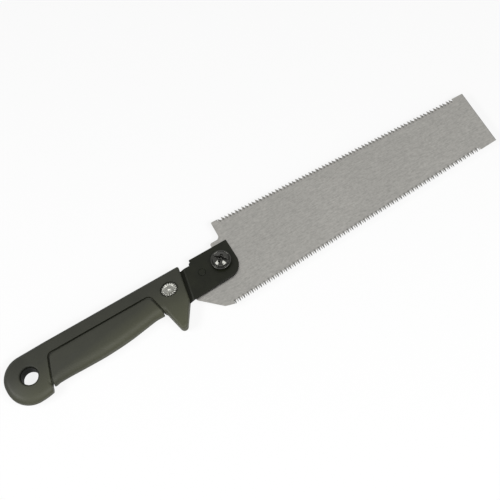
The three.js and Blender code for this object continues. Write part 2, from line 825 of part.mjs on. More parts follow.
function halfSpace(side) {
  const room = pommelX + pommelRadius + bellyDepth;
  const box = new THREE.BoxGeometry(2 * room, 2 * room, room);
  box.translate(-room, 0, (side * room) / 2);
  return solidOf(box);
}

function rightShellSolid(blank) {
  const reach = escutcheonReach + escutcheonMargin;
  const floor = halfThickness + escutcheonProud - escutcheonHeight;
  const recess = revolve([
    [0, floor],
    [reach, floor],
    [reach, halfThickness + overrun],
    [0, halfThickness + overrun],
  ], -rivetX, rivetY, escutcheonShare);
  let shell = blank.intersect(halfSpace(1)).subtract(solidOf(recess));
  shell = shell.add(solidOf(plate(circle(-pegX, pegY, pegRadius), -pegReach, plateThickness)));
  shellScrewPlaces.forEach(({ x, y }) => {
    shell = shell.subtract(drill(x, y, shellScrewRadius + boreGap, -overrun, shellScrewBite + fitGap));
  });
  return shell;
}

function leftShellSolid(blank) {
  const past = -halfThickness - overrun;
  const washerSeat = backRecessDepth - halfThickness;
  const screwSeat = shellScrewSink - halfThickness;
  let shell = blank
    .intersect(halfSpace(-1))
    .subtract(drill(-pegX, pegY, pegRadius + boreGap, -pegReach - fitGap, overrun))
    .subtract(drill(-rivetX, rivetY, backWasherRadius + boreGap, past, washerSeat));
  shellScrewPlaces.forEach(({ x, y }) => {
    shell = shell
      .subtract(drill(x, y, shellScrewRadius + boreGap, past, overrun))
      .subtract(drill(x, y, shellScrewHeadRadius + boreGap, past, screwSeat));
  });
  return shell;
}

// Fasteners of the handle

function escutcheonGeometry() {
  const base = halfThickness + escutcheonProud - escutcheonHeight;
  const rimTop = halfThickness + escutcheonProud;
  const hole = rivetRadius + boreGap;
  return revolve([
    [hole / escutcheonShare, base],
    [escutcheonReach, base],
    [escutcheonReach, rimTop - escutcheonDish],
    [escutcheonReach - escutcheonRim / 3, rimTop],
    [escutcheonReach - escutcheonRim, rimTop],
    [escutcheonFloor, rimTop - escutcheonDish],
    [hole / escutcheonShare, rimTop - escutcheonDish],
    [hole / escutcheonShare, base],
  ], -rivetX, rivetY, escutcheonShare);
}

function rivetGeometry() {
  const headSeat = halfThickness + escutcheonProud - escutcheonDish;
  const washerSeat = backRecessDepth - halfThickness - backWasherThickness;
  const domeFrom = (seat, height) => Array.from({ length: domeSteps }, (_, k) => {
    const angle = (Math.PI / 2) * (k / domeSteps);
    return [rivetHeadRadius * Math.cos(angle), seat + height * Math.sin(angle)];
  });
  return revolve([
    [0, washerSeat - rivetHeadHeight],
    ...domeFrom(washerSeat, -rivetHeadHeight).reverse(),
    [rivetRadius, washerSeat],
    [rivetRadius, headSeat],
    ...domeFrom(headSeat, rivetHeadHeight),
    [0, headSeat + rivetHeadHeight],
  ], -rivetX, rivetY);
}

function backWasherGeometry() {
  const top = backRecessDepth - halfThickness;
  return plate(circle(-rivetX, rivetY, backWasherRadius), top - backWasherThickness, top, [
    bore(-rivetX, rivetY, rivetRadius + boreGap),
  ]);
}

function shellScrewSolid({ x, y }) {
  const seat = shellScrewSink - halfThickness;
  const headEndZ = seat - shellScrewHeadHeight;
  const slotFloor = headEndZ + shellScrewSlotDepth;
  const profile = [
    [0, headEndZ],
    [shellScrewHeadRadius - shellScrewSlotDepth, headEndZ],
    [shellScrewHeadRadius, slotFloor],
    [shellScrewHeadRadius, seat],
    [shellScrewRadius, seat],
    [shellScrewRadius, shellScrewBite - shellScrewRadius],
    [0, shellScrewBite],
  ];
  const slot = (long, wide) => solidOf(plate([
    point(x - long, y - wide),
    point(x + long, y - wide),
    point(x + long, y + wide),
    point(x - long, y + wide),
  ], headEndZ - overrun, slotFloor));
  const long = shellScrewRadius;
  const wide = shellScrewSlotWidth / 2;
  return solidOf(revolve(profile, x, y)).subtract(slot(long, wide)).subtract(slot(wide, long));
}

// Assembly

const finishes = {
  handlePlastic: { color: 0x43443b, roughness: 0.55, metalness: 0 },
  gripRubber: { color: 0x4a4b42, roughness: 0.7, metalness: 0 },
  blackSteel: { color: 0x2a2b27, roughness: 0.45, metalness: 0.4 },
  screwSteel: { color: 0x161613, roughness: 0.2, metalness: 0.6 },
  platedSteel: { color: 0xb9b9b4, roughness: 0.2, metalness: 1 },
  zincSteel: { color: 0x8f8f8a, roughness: 0.4, metalness: 1 },
  bladeSteel: { color: 0xa3a39d, roughness: 0.35, metalness: 0.9 },
};

const saw = new THREE.Group();

function addPiece(name, shape, finish) {
  const geometry = shape.isBufferGeometry ? shape : geometryOf(shape);
  const mesh = new THREE.Mesh(geometry, new THREE.MeshStandardMaterial(finishes[finish]));
  mesh.name = name;
  saw.add(mesh);
}

const blank = handleBlank();
addPiece('right_handle_shell', rightShellSolid(blank), 'handlePlastic');
addPiece('left_handle_shell', leftShellSolid(blank), 'handlePlastic');
addPiece('grip_sleeve', gripSleeveSolid(), 'gripRubber');
addPiece('blade_holder', holderSolid(), 'blackSteel');
addPiece('locating_pin', locatingPinGeometry(), 'blackSteel');
addPiece('tang_rivet', rivetGeometry(), 'platedSteel');
addPiece('rivet_escutcheon', escutcheonGeometry(), 'platedSteel');
addPiece('rivet_washer', backWasherGeometry(), 'zincSteel');
shellScrewPlaces.forEach((place) => addPiece(place.name, shellScrewSolid(place), 'zincSteel'));
addPiece('saw_blade', bladeGeometry(), 'bladeSteel');
addPiece('clamp_plate', clampPlateGeometry(), 'blackSteel');
addPiece('clamp_nut', nutSolid(), 'blackSteel');
addPiece('spring_washer', springWasherGeometry(), 'blackSteel');
addPiece('clamp_screw', clampScrewSolid(), 'screwSteel');

// Origin at the middle of the underside
const bounds = new THREE.Box3().setFromObject(saw, true);
const middle = bounds.getCenter(new THREE.Vector3());
saw.position.set(-middle.x, -middle.y, -bounds.min.z);

export default saw;
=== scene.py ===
# Two-edged pull saw, laid flat with the head of its clamp screw up. Every piece is drawn in
# millimetres from the screw's axis at the blade's mid-plane, as it is on the bench: X along
# the blade to its tip, Y across it to the rip teeth, Z out of the side with the screw head.

import math

import bmesh
import bpy
from mathutils import Matrix, Vector
from mathutils.geometry import tessellate_polygon


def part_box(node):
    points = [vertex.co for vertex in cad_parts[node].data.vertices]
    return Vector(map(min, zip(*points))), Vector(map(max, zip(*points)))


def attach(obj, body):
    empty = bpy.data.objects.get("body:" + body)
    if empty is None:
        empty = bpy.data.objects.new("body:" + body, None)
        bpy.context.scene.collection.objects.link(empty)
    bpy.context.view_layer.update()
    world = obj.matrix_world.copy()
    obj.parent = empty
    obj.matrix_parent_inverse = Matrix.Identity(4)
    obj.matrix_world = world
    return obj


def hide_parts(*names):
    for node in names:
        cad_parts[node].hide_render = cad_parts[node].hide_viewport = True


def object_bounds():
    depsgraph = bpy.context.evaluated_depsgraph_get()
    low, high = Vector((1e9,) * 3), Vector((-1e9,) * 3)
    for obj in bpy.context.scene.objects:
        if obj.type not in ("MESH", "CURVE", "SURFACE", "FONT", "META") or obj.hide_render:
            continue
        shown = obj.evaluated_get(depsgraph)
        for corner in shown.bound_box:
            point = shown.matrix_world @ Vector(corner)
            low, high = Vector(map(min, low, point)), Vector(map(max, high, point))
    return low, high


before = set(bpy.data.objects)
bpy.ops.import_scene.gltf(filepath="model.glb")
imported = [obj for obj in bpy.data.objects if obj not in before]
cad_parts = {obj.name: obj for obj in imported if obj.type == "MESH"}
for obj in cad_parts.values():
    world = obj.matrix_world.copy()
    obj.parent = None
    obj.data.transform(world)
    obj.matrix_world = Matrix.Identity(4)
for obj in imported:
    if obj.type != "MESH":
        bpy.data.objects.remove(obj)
cad_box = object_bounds()


# Camera. It stands above the crosscut edge and looks down on the saw, which runs across the
# picture from the pommel at lower left to the toe at upper right.
camera_place = (-0.11554362, -0.32318679, 0.74760124)
camera_right = Vector((0.8605667, -0.5021573, -0.0852228))
camera_up = Vector((0.4897169, 0.7697576, 0.4094516))
camera_lens = 83.26175

camera = bpy.data.objects.new("camera", bpy.data.cameras.new("camera"))
bpy.context.scene.collection.objects.link(camera)
camera_turn = Matrix((camera_right, camera_up, camera_right.cross(camera_up))).transposed()
camera.matrix_world = Matrix.Translation(camera_place) @ camera_turn.to_4x4()
camera.data.lens = camera_lens
camera.data.sensor_width = 36
camera.data.clip_start = 0.01
camera.data.clip_end = 20
bpy.context.scene.camera = camera


# Blade holder. One blank of 2 mm steel plate, punched to its outline, folded twice behind
# the head so that the blade lies in the handle's middle plane, and coated black.
slant = math.tan(math.radians(11.5))  # handle front, folds and the blade's tail lean alike
blade_taper = math.tan(math.radians(2.37))
blade_half = 0.3
running_gap = 0.05
plate_gauge = 2
holder_back = blade_half + running_gap
holder_face = holder_back + plate_gauge
screw_low, screw_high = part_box("clamp_screw")
blade_low, blade_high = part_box("saw_blade")
axis_place = (screw_low + screw_high) / 2
axis_place.z = (blade_low.z + blade_high.z) / 2
to_row = Matrix.Translation(axis_place) @ Matrix.Scale(0.001, 4)


def rounded(corners, step=5):
    """The outline through a list of (x, y, radius) corners, with its round corners cut finely."""
    outline = []
    for i, (x, y, radius) in enumerate(corners):
        corner = Vector((x, y))
        back = (Vector(corners[i - 1][:2]) - corner).normalized()
        ahead = (Vector(corners[(i + 1) % len(corners)][:2]) - corner).normalized()
        if radius == 0:
            outline.append(corner)
            continue
        half = math.acos(max(-1, min(1, back.dot(ahead)))) / 2
        centre = corner + (back + ahead).normalized() * (radius / math.sin(half))
        start = corner + back * (radius / math.tan(half)) - centre
        turn = math.copysign(math.pi - 2 * half, ahead.cross(back))
        count = max(2, math.ceil(math.degrees(abs(turn)) / step))
        for k in range(count + 1):
            spoke = Matrix.Rotation(turn * k / count, 2) @ start
            outline.append(centre + spoke)
    return outline


def circle(x, y, radius, sides=72, share=1):
    """A round or oval outline."""
    angles = [2 * math.pi * k / sides for k in range(sides)]
    return [Vector((x + radius * math.cos(a), y + radius * share * math.sin(a))) for a in angles]


def drawn_in(outline, inset):
    """The same outline with every point moved square to it, to its left if the inset is positive."""
    moved = []
    for i, here in enumerate(outline):
        before = (here - outline[i - 1]).normalized()
        after = (outline[(i + 1) % len(outline)] - here).normalized()
        mitre = Vector((-before.y - after.y, before.x + after.x)) / (1 + before.dot(after))
        moved.append(here + mitre * inset)
    return moved


def quarter_round(radius, steps):
    """The round between a side and a face: at each step, how far in from the one and how far
    down from the other it has come."""
    angles = [math.pi / 2 * k / steps for k in range(steps + 1)]
    return [(radius * (1 - math.sin(a)), radius * (1 - math.cos(a))) for a in angles]


def rectangle(x, y, half_length, half_width):
    """An outline round a middle point."""
    signs = ((-1, -1), (1, -1), (1, 1), (-1, 1))
    return [Vector((x + sx * half_length, y + sy * half_width)) for sx, sy in signs]


def ring_faces(mesh, lower, upper):
    """Joins two rings of equally many corners with four-sided faces."""
    for k in range(len(lower)):
        after = (k + 1) % len(lower)
        mesh.faces.new((lower[k], lower[after], upper[after], upper[k]))


def area_of(outline):
    """An outline's area, which is negative if it runs clockwise."""
    return sum(p.cross(outline[(i + 1) % len(outline)]) for i, p in enumerate(outline)) / 2


def plate(outline, bottom, top, edge=0, holes=(), steps=3):
    """A flat piece of the given outline, with holes, and a small round along all its edges."""
    mesh = bmesh.new()
    loops = [outline if area_of(outline) > 0 else outline[::-1]]
    loops += [hole if area_of(hole) < 0 else hole[::-1] for hole in holes]
    edge_round = quarter_round(edge, steps) if edge else [(0, 0)]
    levels = [(inset, bottom + rise) for inset, rise in edge_round]
    levels += [(inset, top + bottom - z) for inset, z in reversed(levels)]
    ends = []
    for loop in loops:
        rings = [[mesh.verts.new((p.x, p.y, z)) for p in drawn_in(loop, inset)] for inset, z in levels]
        for lower, upper in zip(rings, rings[1:]):
            ring_faces(mesh, lower, upper)
        ends.append((rings[0], rings[-1]))
    for side in (0, 1):
        rims = [pair[side] for pair in ends]
        corners = [corner for rim in rims for corner in rim]
        for a, b, c in tessellate_polygon([[corner.co for corner in rim] for rim in rims]):
            mesh.faces.new((corners[a], corners[b], corners[c]))
    bmesh.ops.recalc_face_normals(mesh, faces=mesh.faces)
    return mesh


def piece(name, mesh, body, material, stands_for=(), sharp=30):
    """Finishes a piece that was drawn in millimetres, puts it in its place and gives it its finish."""
    data = bpy.data.meshes.new(name)
    mesh.transform(to_row)
    bmesh.ops.recalc_face_normals(mesh, faces=mesh.faces)
    mesh.to_mesh(data)
    mesh.free()
    data.shade_smooth()
    data.set_sharp_from_angle(angle=math.radians(sharp))
    data.materials.append(material)
    made = bpy.data.objects.new(name, data)
    bpy.context.scene.collection.objects.link(made)
    weighted = made.modifiers.new("flat faces stay flat", "WEIGHTED_NORMAL")
    weighted.keep_sharp = True
    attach(made, body)
    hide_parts(*stands_for)
    return made


def linear(colour):
    """A hex colour, as a screen shows it, in the linear values that a shader takes."""
    shares = [int(colour[i:i + 2], 16) / 255 for i in (1, 3, 5)]
    return (*[s / 12.92 if s <= 0.04045 else ((s + 0.055) / 1.055) ** 2.4 for s in shares], 1)


def connect(material, made, inputs):
    """Gives a node's inputs their values, or links them to other nodes' outputs."""
    for name, value in inputs.items():
        if isinstance(value, bpy.types.NodeSocket):
            material.node_tree.links.new(value, made.inputs[name])
        else:
            made.inputs[name].default_value = value


def node(material, kind, inputs=None, **settings):
    """Adds a node with its inputs and, by name, its settings."""
    made = material.node_tree.nodes.new(kind)
    for name, value in settings.items():
        setattr(made, name, value)
    connect(material, made, inputs or {})
    return made


def new_material(name):
    """A new material and its surface shader."""
    material = bpy.data.materials.new(name)
    material.use_nodes = True
    return material, material.node_tree.nodes["Principled BSDF"]


def two_tones(material, level, dark, light, start=0.3, end=0.7):
    """A colour that goes from dark to light as a pattern's level goes from start to end."""
    share = node(material, "ShaderNodeMapRange", {"Value": level, "From Min": start, "From Max": end})
    return node(material, "ShaderNodeMix", {
        0: share.outputs["Result"], 6: dark, 7: light}, data_type="RGBA").outputs[2]


def per_mm(size):
    """The scale of a pattern whose repeat is that many millimetres."""
    return 1000 / size


def bench_place(material):
    """A point's place in millimetres from the screw's axis, as the pieces are drawn."""
    where = node(material, "ShaderNodeTexCoord").outputs["Object"]
    return node(material, "ShaderNodeMapping", {
        "Vector": where, "Scale": (1000, 1000, 1000),
        "Location": axis_place * -1000}).outputs["Vector"]


head_end = 11.05
head_top = 13.05
head_bottom = 13.65
head_corner = 11.25
hook_x = 19.3
neck_top = 9.15
shoulder_front = 39
shoulder_rear = 43
shoulder_radius = 2
tang_end = 98
tang_top = 6
tang_bottom = 8
tang_radius = 4
holder_edge = 0.25
spine_height = 12.2
handle_front = 27.8
bend_rear = handle_front + spine_height * slant - 0.7
bend_front = bend_rear - 2.3
bend_round = 0.8  # how far each fold's round runs past it
bore_gap = 0.08
screw_radius = 2.95
pin_x = 15.6
pin_radius = 2.6
rivet_x = 41.7
rivet_y = -0.4
rivet_radius = 2
peg_x = 88
peg_y = -1
peg_radius = 2.6


def head_bottom_at(x):
    """The head's lower edge, which runs along the blade's crosscut edge."""
    return x * blade_taper - head_bottom


def smooth(share):
    """Eases from 0 to 1."""
    share = max(0, min(1, share))
    return share * share * (3 - 2 * share)


def tang_outline(front, gap=0):
    """The tang and its shoulders, wider by a gap all round, closed by corners at the front."""
    return rounded([
        (-tang_end - gap, -tang_bottom - gap, tang_radius),
        (-shoulder_rear - gap, -tang_bottom - gap, shoulder_radius),
        (-shoulder_front - gap, head_bottom_at(-shoulder_front) - gap, shoulder_radius),
        *front,
        (-shoulder_front - gap, neck_top + gap, shoulder_radius),
        (-shoulder_rear - gap, tang_top + gap, shoulder_radius),
        (-tang_end - gap, tang_top + gap, tang_radius),
    ])


holder_outline = tang_outline([
    (head_end, head_bottom_at(head_end), head_corner),
    (head_end, head_top, 0.5),
    (-hook_x, head_top, 0.5),
    (-hook_x, neck_top, 1.2),
])
holder_holes = [
    circle(0, 0, screw_radius + bore_gap),
    circle(-pin_x, 0, pin_radius + bore_gap),
    circle(-rivet_x, rivet_y, rivet_radius + bore_gap),
    circle(-peg_x, peg_y, peg_radius + bore_gap),
]
holder_mesh = plate(holder_outline, -plate_gauge / 2, plate_gauge / 2, holder_edge, holder_holes)
fold_start = -bend_rear - bend_round
fold_length = bend_rear - bend_front + 2 * bend_round
fold_cuts = 12
for k in range(fold_cuts + 1):
    everything = holder_mesh.verts[:] + holder_mesh.edges[:] + holder_mesh.faces[:]
    bmesh.ops.bisect_plane(holder_mesh, geom=everything, dist=0.0001, plane_no=(1, -slant, 0),
                           plane_co=(fold_start + fold_length * k / fold_cuts, 0, 0))
for corner in holder_mesh.verts:
    along = (corner.co.x - slant * corner.co.y - fold_start) / fold_length
    corner.co.z += (holder_back + plate_gauge / 2) * smooth(along)

# Steel, black electrodip paint: satin, a faint orange peel, rubbed a little brighter in places.
black_coat, shader = new_material("black electrodip paint on steel plate")
where = node(black_coat, "ShaderNodeTexCoord").outputs["Object"]
peel = node(black_coat, "ShaderNodeTexNoise", {"Vector": where, "Scale": per_mm(0.9), "Detail": 3})
rub = node(black_coat, "ShaderNodeTexNoise", {
    "Vector": where, "Scale": per_mm(9), "Detail": 6, "Roughness": 0.7})
colour = two_tones(black_coat, rub.outputs["Fac"], linear("#0D0F06"), linear("#15170C"), 0.35, 0.7)

# Painted light: the folds, where the plate was bent, are drawn a paler grey to lift the shade that the
# handle casts there.
along = node(black_coat, "ShaderNodeVectorMath", {
    0: bench_place(black_coat), 1: (1, -slant, 0)}, operation="DOT_PRODUCT")
from_fold = node(black_coat, "ShaderNodeMath", {
    0: along.outputs["Value"], 1: -fold_start - fold_length / 2}, operation="ADD")
off = node(black_coat, "ShaderNodeMath", {0: from_fold.outputs[0]}, operation="ABSOLUTE")
colour = two_tones(black_coat, off.outputs[0], colour, linear("#2B2C26"),
                   fold_length / 2 - 0.2, fold_length / 2 - 1.1)

# Painted shade: the sheared edges are drawn darker than the flats and with less sheen, for the shade on
# the plate's side walls.
facing = node(black_coat, "ShaderNodeSeparateXYZ", {
    0: node(black_coat, "ShaderNodeTexCoord").outputs["Normal"]})
upright = node(black_coat, "ShaderNodeMath", {0: facing.outputs["Z"]}, operation="ABSOLUTE")
flat = node(black_coat, "ShaderNodeMapRange", {
    "Value": upright.outputs[0], "From Min": 0.2, "From Max": 0.8})
colour = node(black_coat, "ShaderNodeMix", {
    0: flat.outputs["Result"], 6: linear("#060604"), 7: colour}, data_type="RGBA").outputs[2]
sheen = node(black_coat, "ShaderNodeMapRange", {
    "Value": flat.outputs["Result"], "To Min": 0.05, "To Max": 0.21})

gloss = node(black_coat, "ShaderNodeMapRange", {
    "Value": rub.outputs["Fac"], "From Min": 0.3, "From Max": 0.7, "To Min": 0.36, "To Max": 0.5})
bump = node(black_coat, "ShaderNodeBump", {
    "Height": peel.outputs["Fac"], "Strength": 0.25, "Distance": 0.00004})
connect(black_coat, shader, {
    "Base Color": colour, "Roughness": gloss.outputs["Result"],
    "Specular IOR Level": sheen.outputs["Result"], "Normal": bump.outputs["Normal"]})
piece("holder_plate", holder_mesh, "handle", black_coat, ["blade_holder"])


# Locating pin. A steel pin riveted through the holder's head; the slot in the blade's tail
# and the clamp plate slide on it. Its ends are rounded a little by the hammer.
clamp_plate_back = -holder_back - plate_gauge
pin_proud = 0.2


def turned(profile, x=0, y=0, sides=72, share=1):
    """A piece turned on a lathe from a list of (radius, z) points, the first and last on the axis."""
    mesh = bmesh.new()
    rings = []
    for radius, z in profile:
        if radius == 0:
            rings.append([mesh.verts.new((x, y, z))] * sides)
        else:
            rings.append([mesh.verts.new((p.x, p.y, z)) for p in circle(x, y, radius, sides, share)])
    closed = profile[0][0] != 0
    pairs = list(zip(rings, rings[1:])) + ([(rings[-1], rings[0])] if closed else [])
    for lower, upper in pairs:
        for k in range(sides):
            after = (k + 1) % sides
            corners = [lower[k], lower[after], upper[after], upper[k]]
            mesh.faces.new(list(dict.fromkeys(corners)))
    bmesh.ops.recalc_face_normals(mesh, faces=mesh.faces)
    return mesh


def rod(radius, bottom, top, x=0, y=0):
    """A plain round solid, to stay or to cut with."""
    return turned([(0, bottom), (radius, bottom), (radius, top), (0, top)], x, y)


def eased(profile, radius, steps=4):
    """The same lathe profile with its inner corners rounded."""
    rounded_profile = [profile[0]]
    for before, here, after in zip(profile, profile[1:], profile[2:]):
        corner = Vector(here)
        back = Vector(before) - corner
        ahead = Vector(after) - corner
        reach = min(radius, back.length / 2.2, ahead.length / 2.2)
        start = corner + back.normalized() * reach
        end = corner + ahead.normalized() * reach
        for k in range(steps + 1):
            share = k / steps
            spot = start.lerp(corner, share).lerp(corner.lerp(end, share), share)
            rounded_profile.append(tuple(spot))
    rounded_profile.append(profile[-1])
    return rounded_profile


pin_mesh = turned(eased([
    (0, clamp_plate_back - pin_proud),
    (pin_radius, clamp_plate_back - pin_proud),
    (pin_radius, holder_face + pin_proud),
    (0, holder_face + pin_proud),
], 0.35), -pin_x)
piece("pin", pin_mesh, "handle", black_coat, ["locating_pin"])


# Handle shells. Two glass-filled nylon mouldings that meet in the middle plane: a straight
# spine, a belly that follows the hand, a beak-shaped guard and a pommel with a hanging hole.
half_thickness = 6
belly_depth = 17.5
pommel_x = 154.6
pommel_radius = 17.2
pommel_edge = 4
spine_edge = 2.5
belly_edge = half_thickness * 0.83
edge_blend_share = 0.15  # share of the handle over which the pommel's edges become its own
front_share = 0.94  # where the round of the front begins, as a share of the handle
body_steps = 90
front_edge = 1.6
tail_length = 11.6
tail_lift = 1.4
tail_edge = 1.4
hang_x = pommel_x - 1.3
hang_y = -5
hang_radius = 6
hang_flare = 1.6
guard_reach = 29.1
guard_tip_x = 45.4
guard_tip_radius = 2.9
guard_edge = 1.7
guard_rear_x = 51.3
guard_root_depth = 13
groove_width = 1.35
crown_middle = 2  # the sides are highest along this line, and at the pommel's middle
crown_drop = 0.17
pommel_drop = 0.36
crown_spread = 0.53  # a crowned side is drawn out this much for what it loses in thickness
crown_run = 18  # length over which the pommel's crown becomes the handle's
crown_beyond = 1.4  # how much faster the sides fall beyond the pommel's radius
pommel_lean_from = 4
pommel_lean_over = 16
grip_top = 2.3
grip_overlap = 3.2  # how far the grip's swollen skin starts above its window
grip_corner = 4.5
grip_wall = 2
grip_rear = pommel_x - 19.2
grip_rear_slant = math.tan(math.radians(19))
grip_front_slant = math.tan(math.radians(13.5))
grip_front = 56.1
fit_gap = 0.15
overrun = 1
grain = 0.3  # voxel of the mouldings: it also rounds their inner corners
belly = [
    (0, 0.97), (0.06, 1), (0.112, 1.03), (0.145, 0.995), (0.21, 0.985), (0.3, 0.995), (0.42, 1),
    (0.51, 0.975), (0.6, 0.925), (0.68, 0.85), (0.74, 0.79), (0.79, 0.75), (0.84, 0.76), (0.92, 0.8),
    (1, 0.82),
]


def through(table, place):
    """The height at a place of a smooth curve through (place, height) points, with no overshoot."""
    slopes = [(b[1] - a[1]) / (b[0] - a[0]) for a, b in zip(table, table[1:])]
    bends = [0 if s * t <= 0 else 2 * s * t / (s + t) for s, t in zip(slopes, slopes[1:])]
    bends = [slopes[0], *bends, slopes[-1]]
    k = max(1, next((i for i, spot in enumerate(table) if spot[0] >= place), len(table) - 1))
    (start, low), (end, high) = table[k - 1], table[k]
    span = end - start
    t = max(0, min(1, (place - start) / span))
    return (
        low * (1 + 2 * t) * (1 - t) ** 2 + high * t * t * (3 - 2 * t)
        + span * (bends[k - 1] * t * (1 - t) ** 2 - bends[k] * t * t * (1 - t))
    )


def cross_section(top, bottom, half_width, top_radius, bottom_radius, steps=9):
    """A slice across the handle, with flat sides and its own rounds at spine and belly."""
    up = (top - bottom).normalized()
    height = (top - bottom).length
    corners = [
        (height - top_radius, half_width - top_radius, top_radius),
        (height - top_radius, top_radius - half_width, top_radius),
        (bottom_radius, bottom_radius - half_width, bottom_radius),
        (bottom_radius, half_width - bottom_radius, bottom_radius),
    ]
    ring = []
    for quarter, (along, across, radius) in enumerate(corners):
        for k in range(steps + 1):
            angle = math.pi / 2 * (1 - quarter - k / steps)
            spot = bottom + up * (along + radius * math.cos(angle))
            ring.append((spot.x, spot.y, across + radius * math.sin(angle)))
    return ring


def loft(slices):
    """A closed skin through a row of slices."""
    mesh = bmesh.new()
    rings = [[mesh.verts.new(spot) for spot in ring] for ring in slices]
    for lower, upper in zip(rings, rings[1:]):
        ring_faces(mesh, lower, upper)
    mesh.faces.new(rings[0])
    mesh.faces.new(rings[-1])
    bmesh.ops.recalc_face_normals(mesh, faces=mesh.faces)
    return mesh


def body_slice(share, inset, swell=0):
    """The handle at a share of the way from pommel to front, drawn in or swollen."""
    foot_front = -handle_front - (spine_height + belly_depth * belly[-1][1]) * slant
    top = Vector((-pommel_x + (pommel_x - handle_front) * share, spine_height))
    bottom = Vector((-pommel_x + (pommel_x + foot_front) * share, -belly_depth * through(belly, share)))
    down = (bottom - top).normalized()
    blend = min(1, share / edge_blend_share)
    top_radius = pommel_edge + (spine_edge - pommel_edge) * blend
    bottom_radius = pommel_edge + (belly_edge - pommel_edge) * blend
    if swell:
        top += down * (spine_height - grip_top - grip_overlap)
        top_radius = half_thickness
    return cross_section(top + down * inset, bottom - down * inset, half_thickness - inset + swell,
                         top_radius - inset, bottom_radius - inset)


def body(inset=0):
    """The handle between pommel and front, drawn in by the same inset on every side."""
    front_round = front_edge * (1 - inset / spine_edge)
    slices = [body_slice(front_share * k / body_steps, inset) for k in range(body_steps + 1)]
    for back, drawn in quarter_round(front_round, 8):
        slices.append(body_slice(1 - back / (pommel_x - handle_front), inset + drawn))
    return loft(slices)


def reworked(mesh, kind, tool=None, **settings):
    """Runs one of the modelling tools over a solid, with a second solid where it takes one."""
    made = []
    for solid in filter(None, (mesh, tool)):
        data = bpy.data.meshes.new("blank")
        solid.to_mesh(data)
        solid.free()
        made.append(bpy.data.objects.new("blank", data))
        bpy.context.scene.collection.objects.link(made[-1])
    modifier = made[0].modifiers.new("work", kind)
    for name, value in settings.items():
        setattr(modifier, name, value)
    if tool:
        modifier.object = made[1]
    result = made[0].evaluated_get(bpy.context.evaluated_depsgraph_get())
    worked = bmesh.new()
    worked.from_mesh(result.to_mesh())
    result.to_mesh_clear()
    for blank in made:
        data = blank.data
        bpy.data.objects.remove(blank)
        bpy.data.meshes.remove(data)
    return worked


def cut(mesh, tool, operation="DIFFERENCE"):
    """What a tool leaves of a solid, or what both share."""
    return reworked(mesh, "BOOLEAN", tool, operation=operation, solver="MANIFOLD")


def add(mesh, tool):
    """Two solids in one."""
    return cut(mesh, tool, "UNION")


def moulded(mesh, voxel, passes):
    """The solid as it leaves a mould: one even skin with every edge and inner corner eased."""
    skin = reworked(mesh, "REMESH", mode="VOXEL", voxel_size=voxel)
    return reworked(skin, "SMOOTH", factor=0.5, iterations=passes)


def around(before, centre, radius, after, step=5):
    """The round of an outline that comes straight from one place, round a circle and on to another."""
    def touching(place, side):
        away = place - centre
        return math.atan2(away.y, away.x) + side * math.acos(radius / away.length)
    start = touching(before, 1)
    turn = (touching(after, -1) - start) % (2 * math.pi)
    count = math.ceil(math.degrees(turn) / step)
    angles = [start + turn * k / count for k in range(count + 1)]
    return [centre + Vector((radius * math.cos(a), radius * math.sin(a))) for a in angles]


pommel_y = spine_height - pommel_radius
pommel_rim = [(pommel_radius - inset, half_thickness - drop)
              for inset, drop in quarter_round(pommel_edge, 9)]
pommel = turned([
    (0, -half_thickness), *[(r, -z) for r, z in pommel_rim], *pommel_rim[::-1], (0, half_thickness),
], -pommel_x, pommel_y, 144)
tail_places = [(0, 0), (0.25, 0), (0.5, 0), (0.75, 0)]
tail_places += [(1 - back / tail_length, drawn) for back, drawn in quarter_round(tail_edge, 6)]
tail_slices = []
for share, drawn in tail_places:
    tail_x = -pommel_x + share * tail_length
    tail_slices.append(cross_section(
        Vector((tail_x, spine_height - pommel_edge)),
        Vector((tail_x, pommel_y - pommel_radius + drawn + tail_lift * share * share)),
        half_thickness - drawn, fit_gap, pommel_edge - drawn,
    ))


def front_at(y):
    """The handle's slanted front."""
    return -handle_front - (spine_height - y) * slant


guard_rear = Vector((-guard_rear_x, -guard_root_depth + overrun))
guard_front = Vector((front_at(-guard_root_depth), -guard_root_depth))
guard_tip = Vector((-guard_tip_x, guard_tip_radius - guard_reach))
guard = plate([
    guard_rear,
    *around(guard_rear, guard_tip, guard_tip_radius, guard_front),
    guard_front,
    Vector((front_at(0), 0)),
    Vector((-guard_rear_x - overrun, 0)),
], -half_thickness, half_thickness, guard_edge, steps=6)


def grip_window(margin):
    """The opening for the grip, drawn in or out from the middle of the groove round it."""
    depth = grip_top + belly_depth + pommel_edge
    def corner(slope):
        return margin * math.sqrt(1 + slope * slope) - margin * slope
    rear = -grip_rear - corner(grip_rear_slant)
    front = -grip_front + corner(grip_front_slant)
    outline = rounded([
        (rear - (depth + margin) * grip_rear_slant, grip_top - depth, 0),
        (front + (depth + margin) * grip_front_slant, grip_top - depth, 0),
        (front, grip_top + margin, grip_corner),
        (rear, grip_top + margin, grip_corner),
    ])
    return plate(outline, -half_thickness - 2, half_thickness + 2)


hang_bell = [(hang_radius + out, half_thickness - drop) for drop, out in quarter_round(hang_flare, 8)]
hang_past = half_thickness + overrun
hang_hole = turned([
    (0, -hang_past), (hang_radius + hang_flare, -hang_past),
    *[(r, -z) for r, z in hang_bell[::-1]], *hang_bell,
    (hang_radius + hang_flare, hang_past), (0, hang_past),
], -hang_x, hang_y)


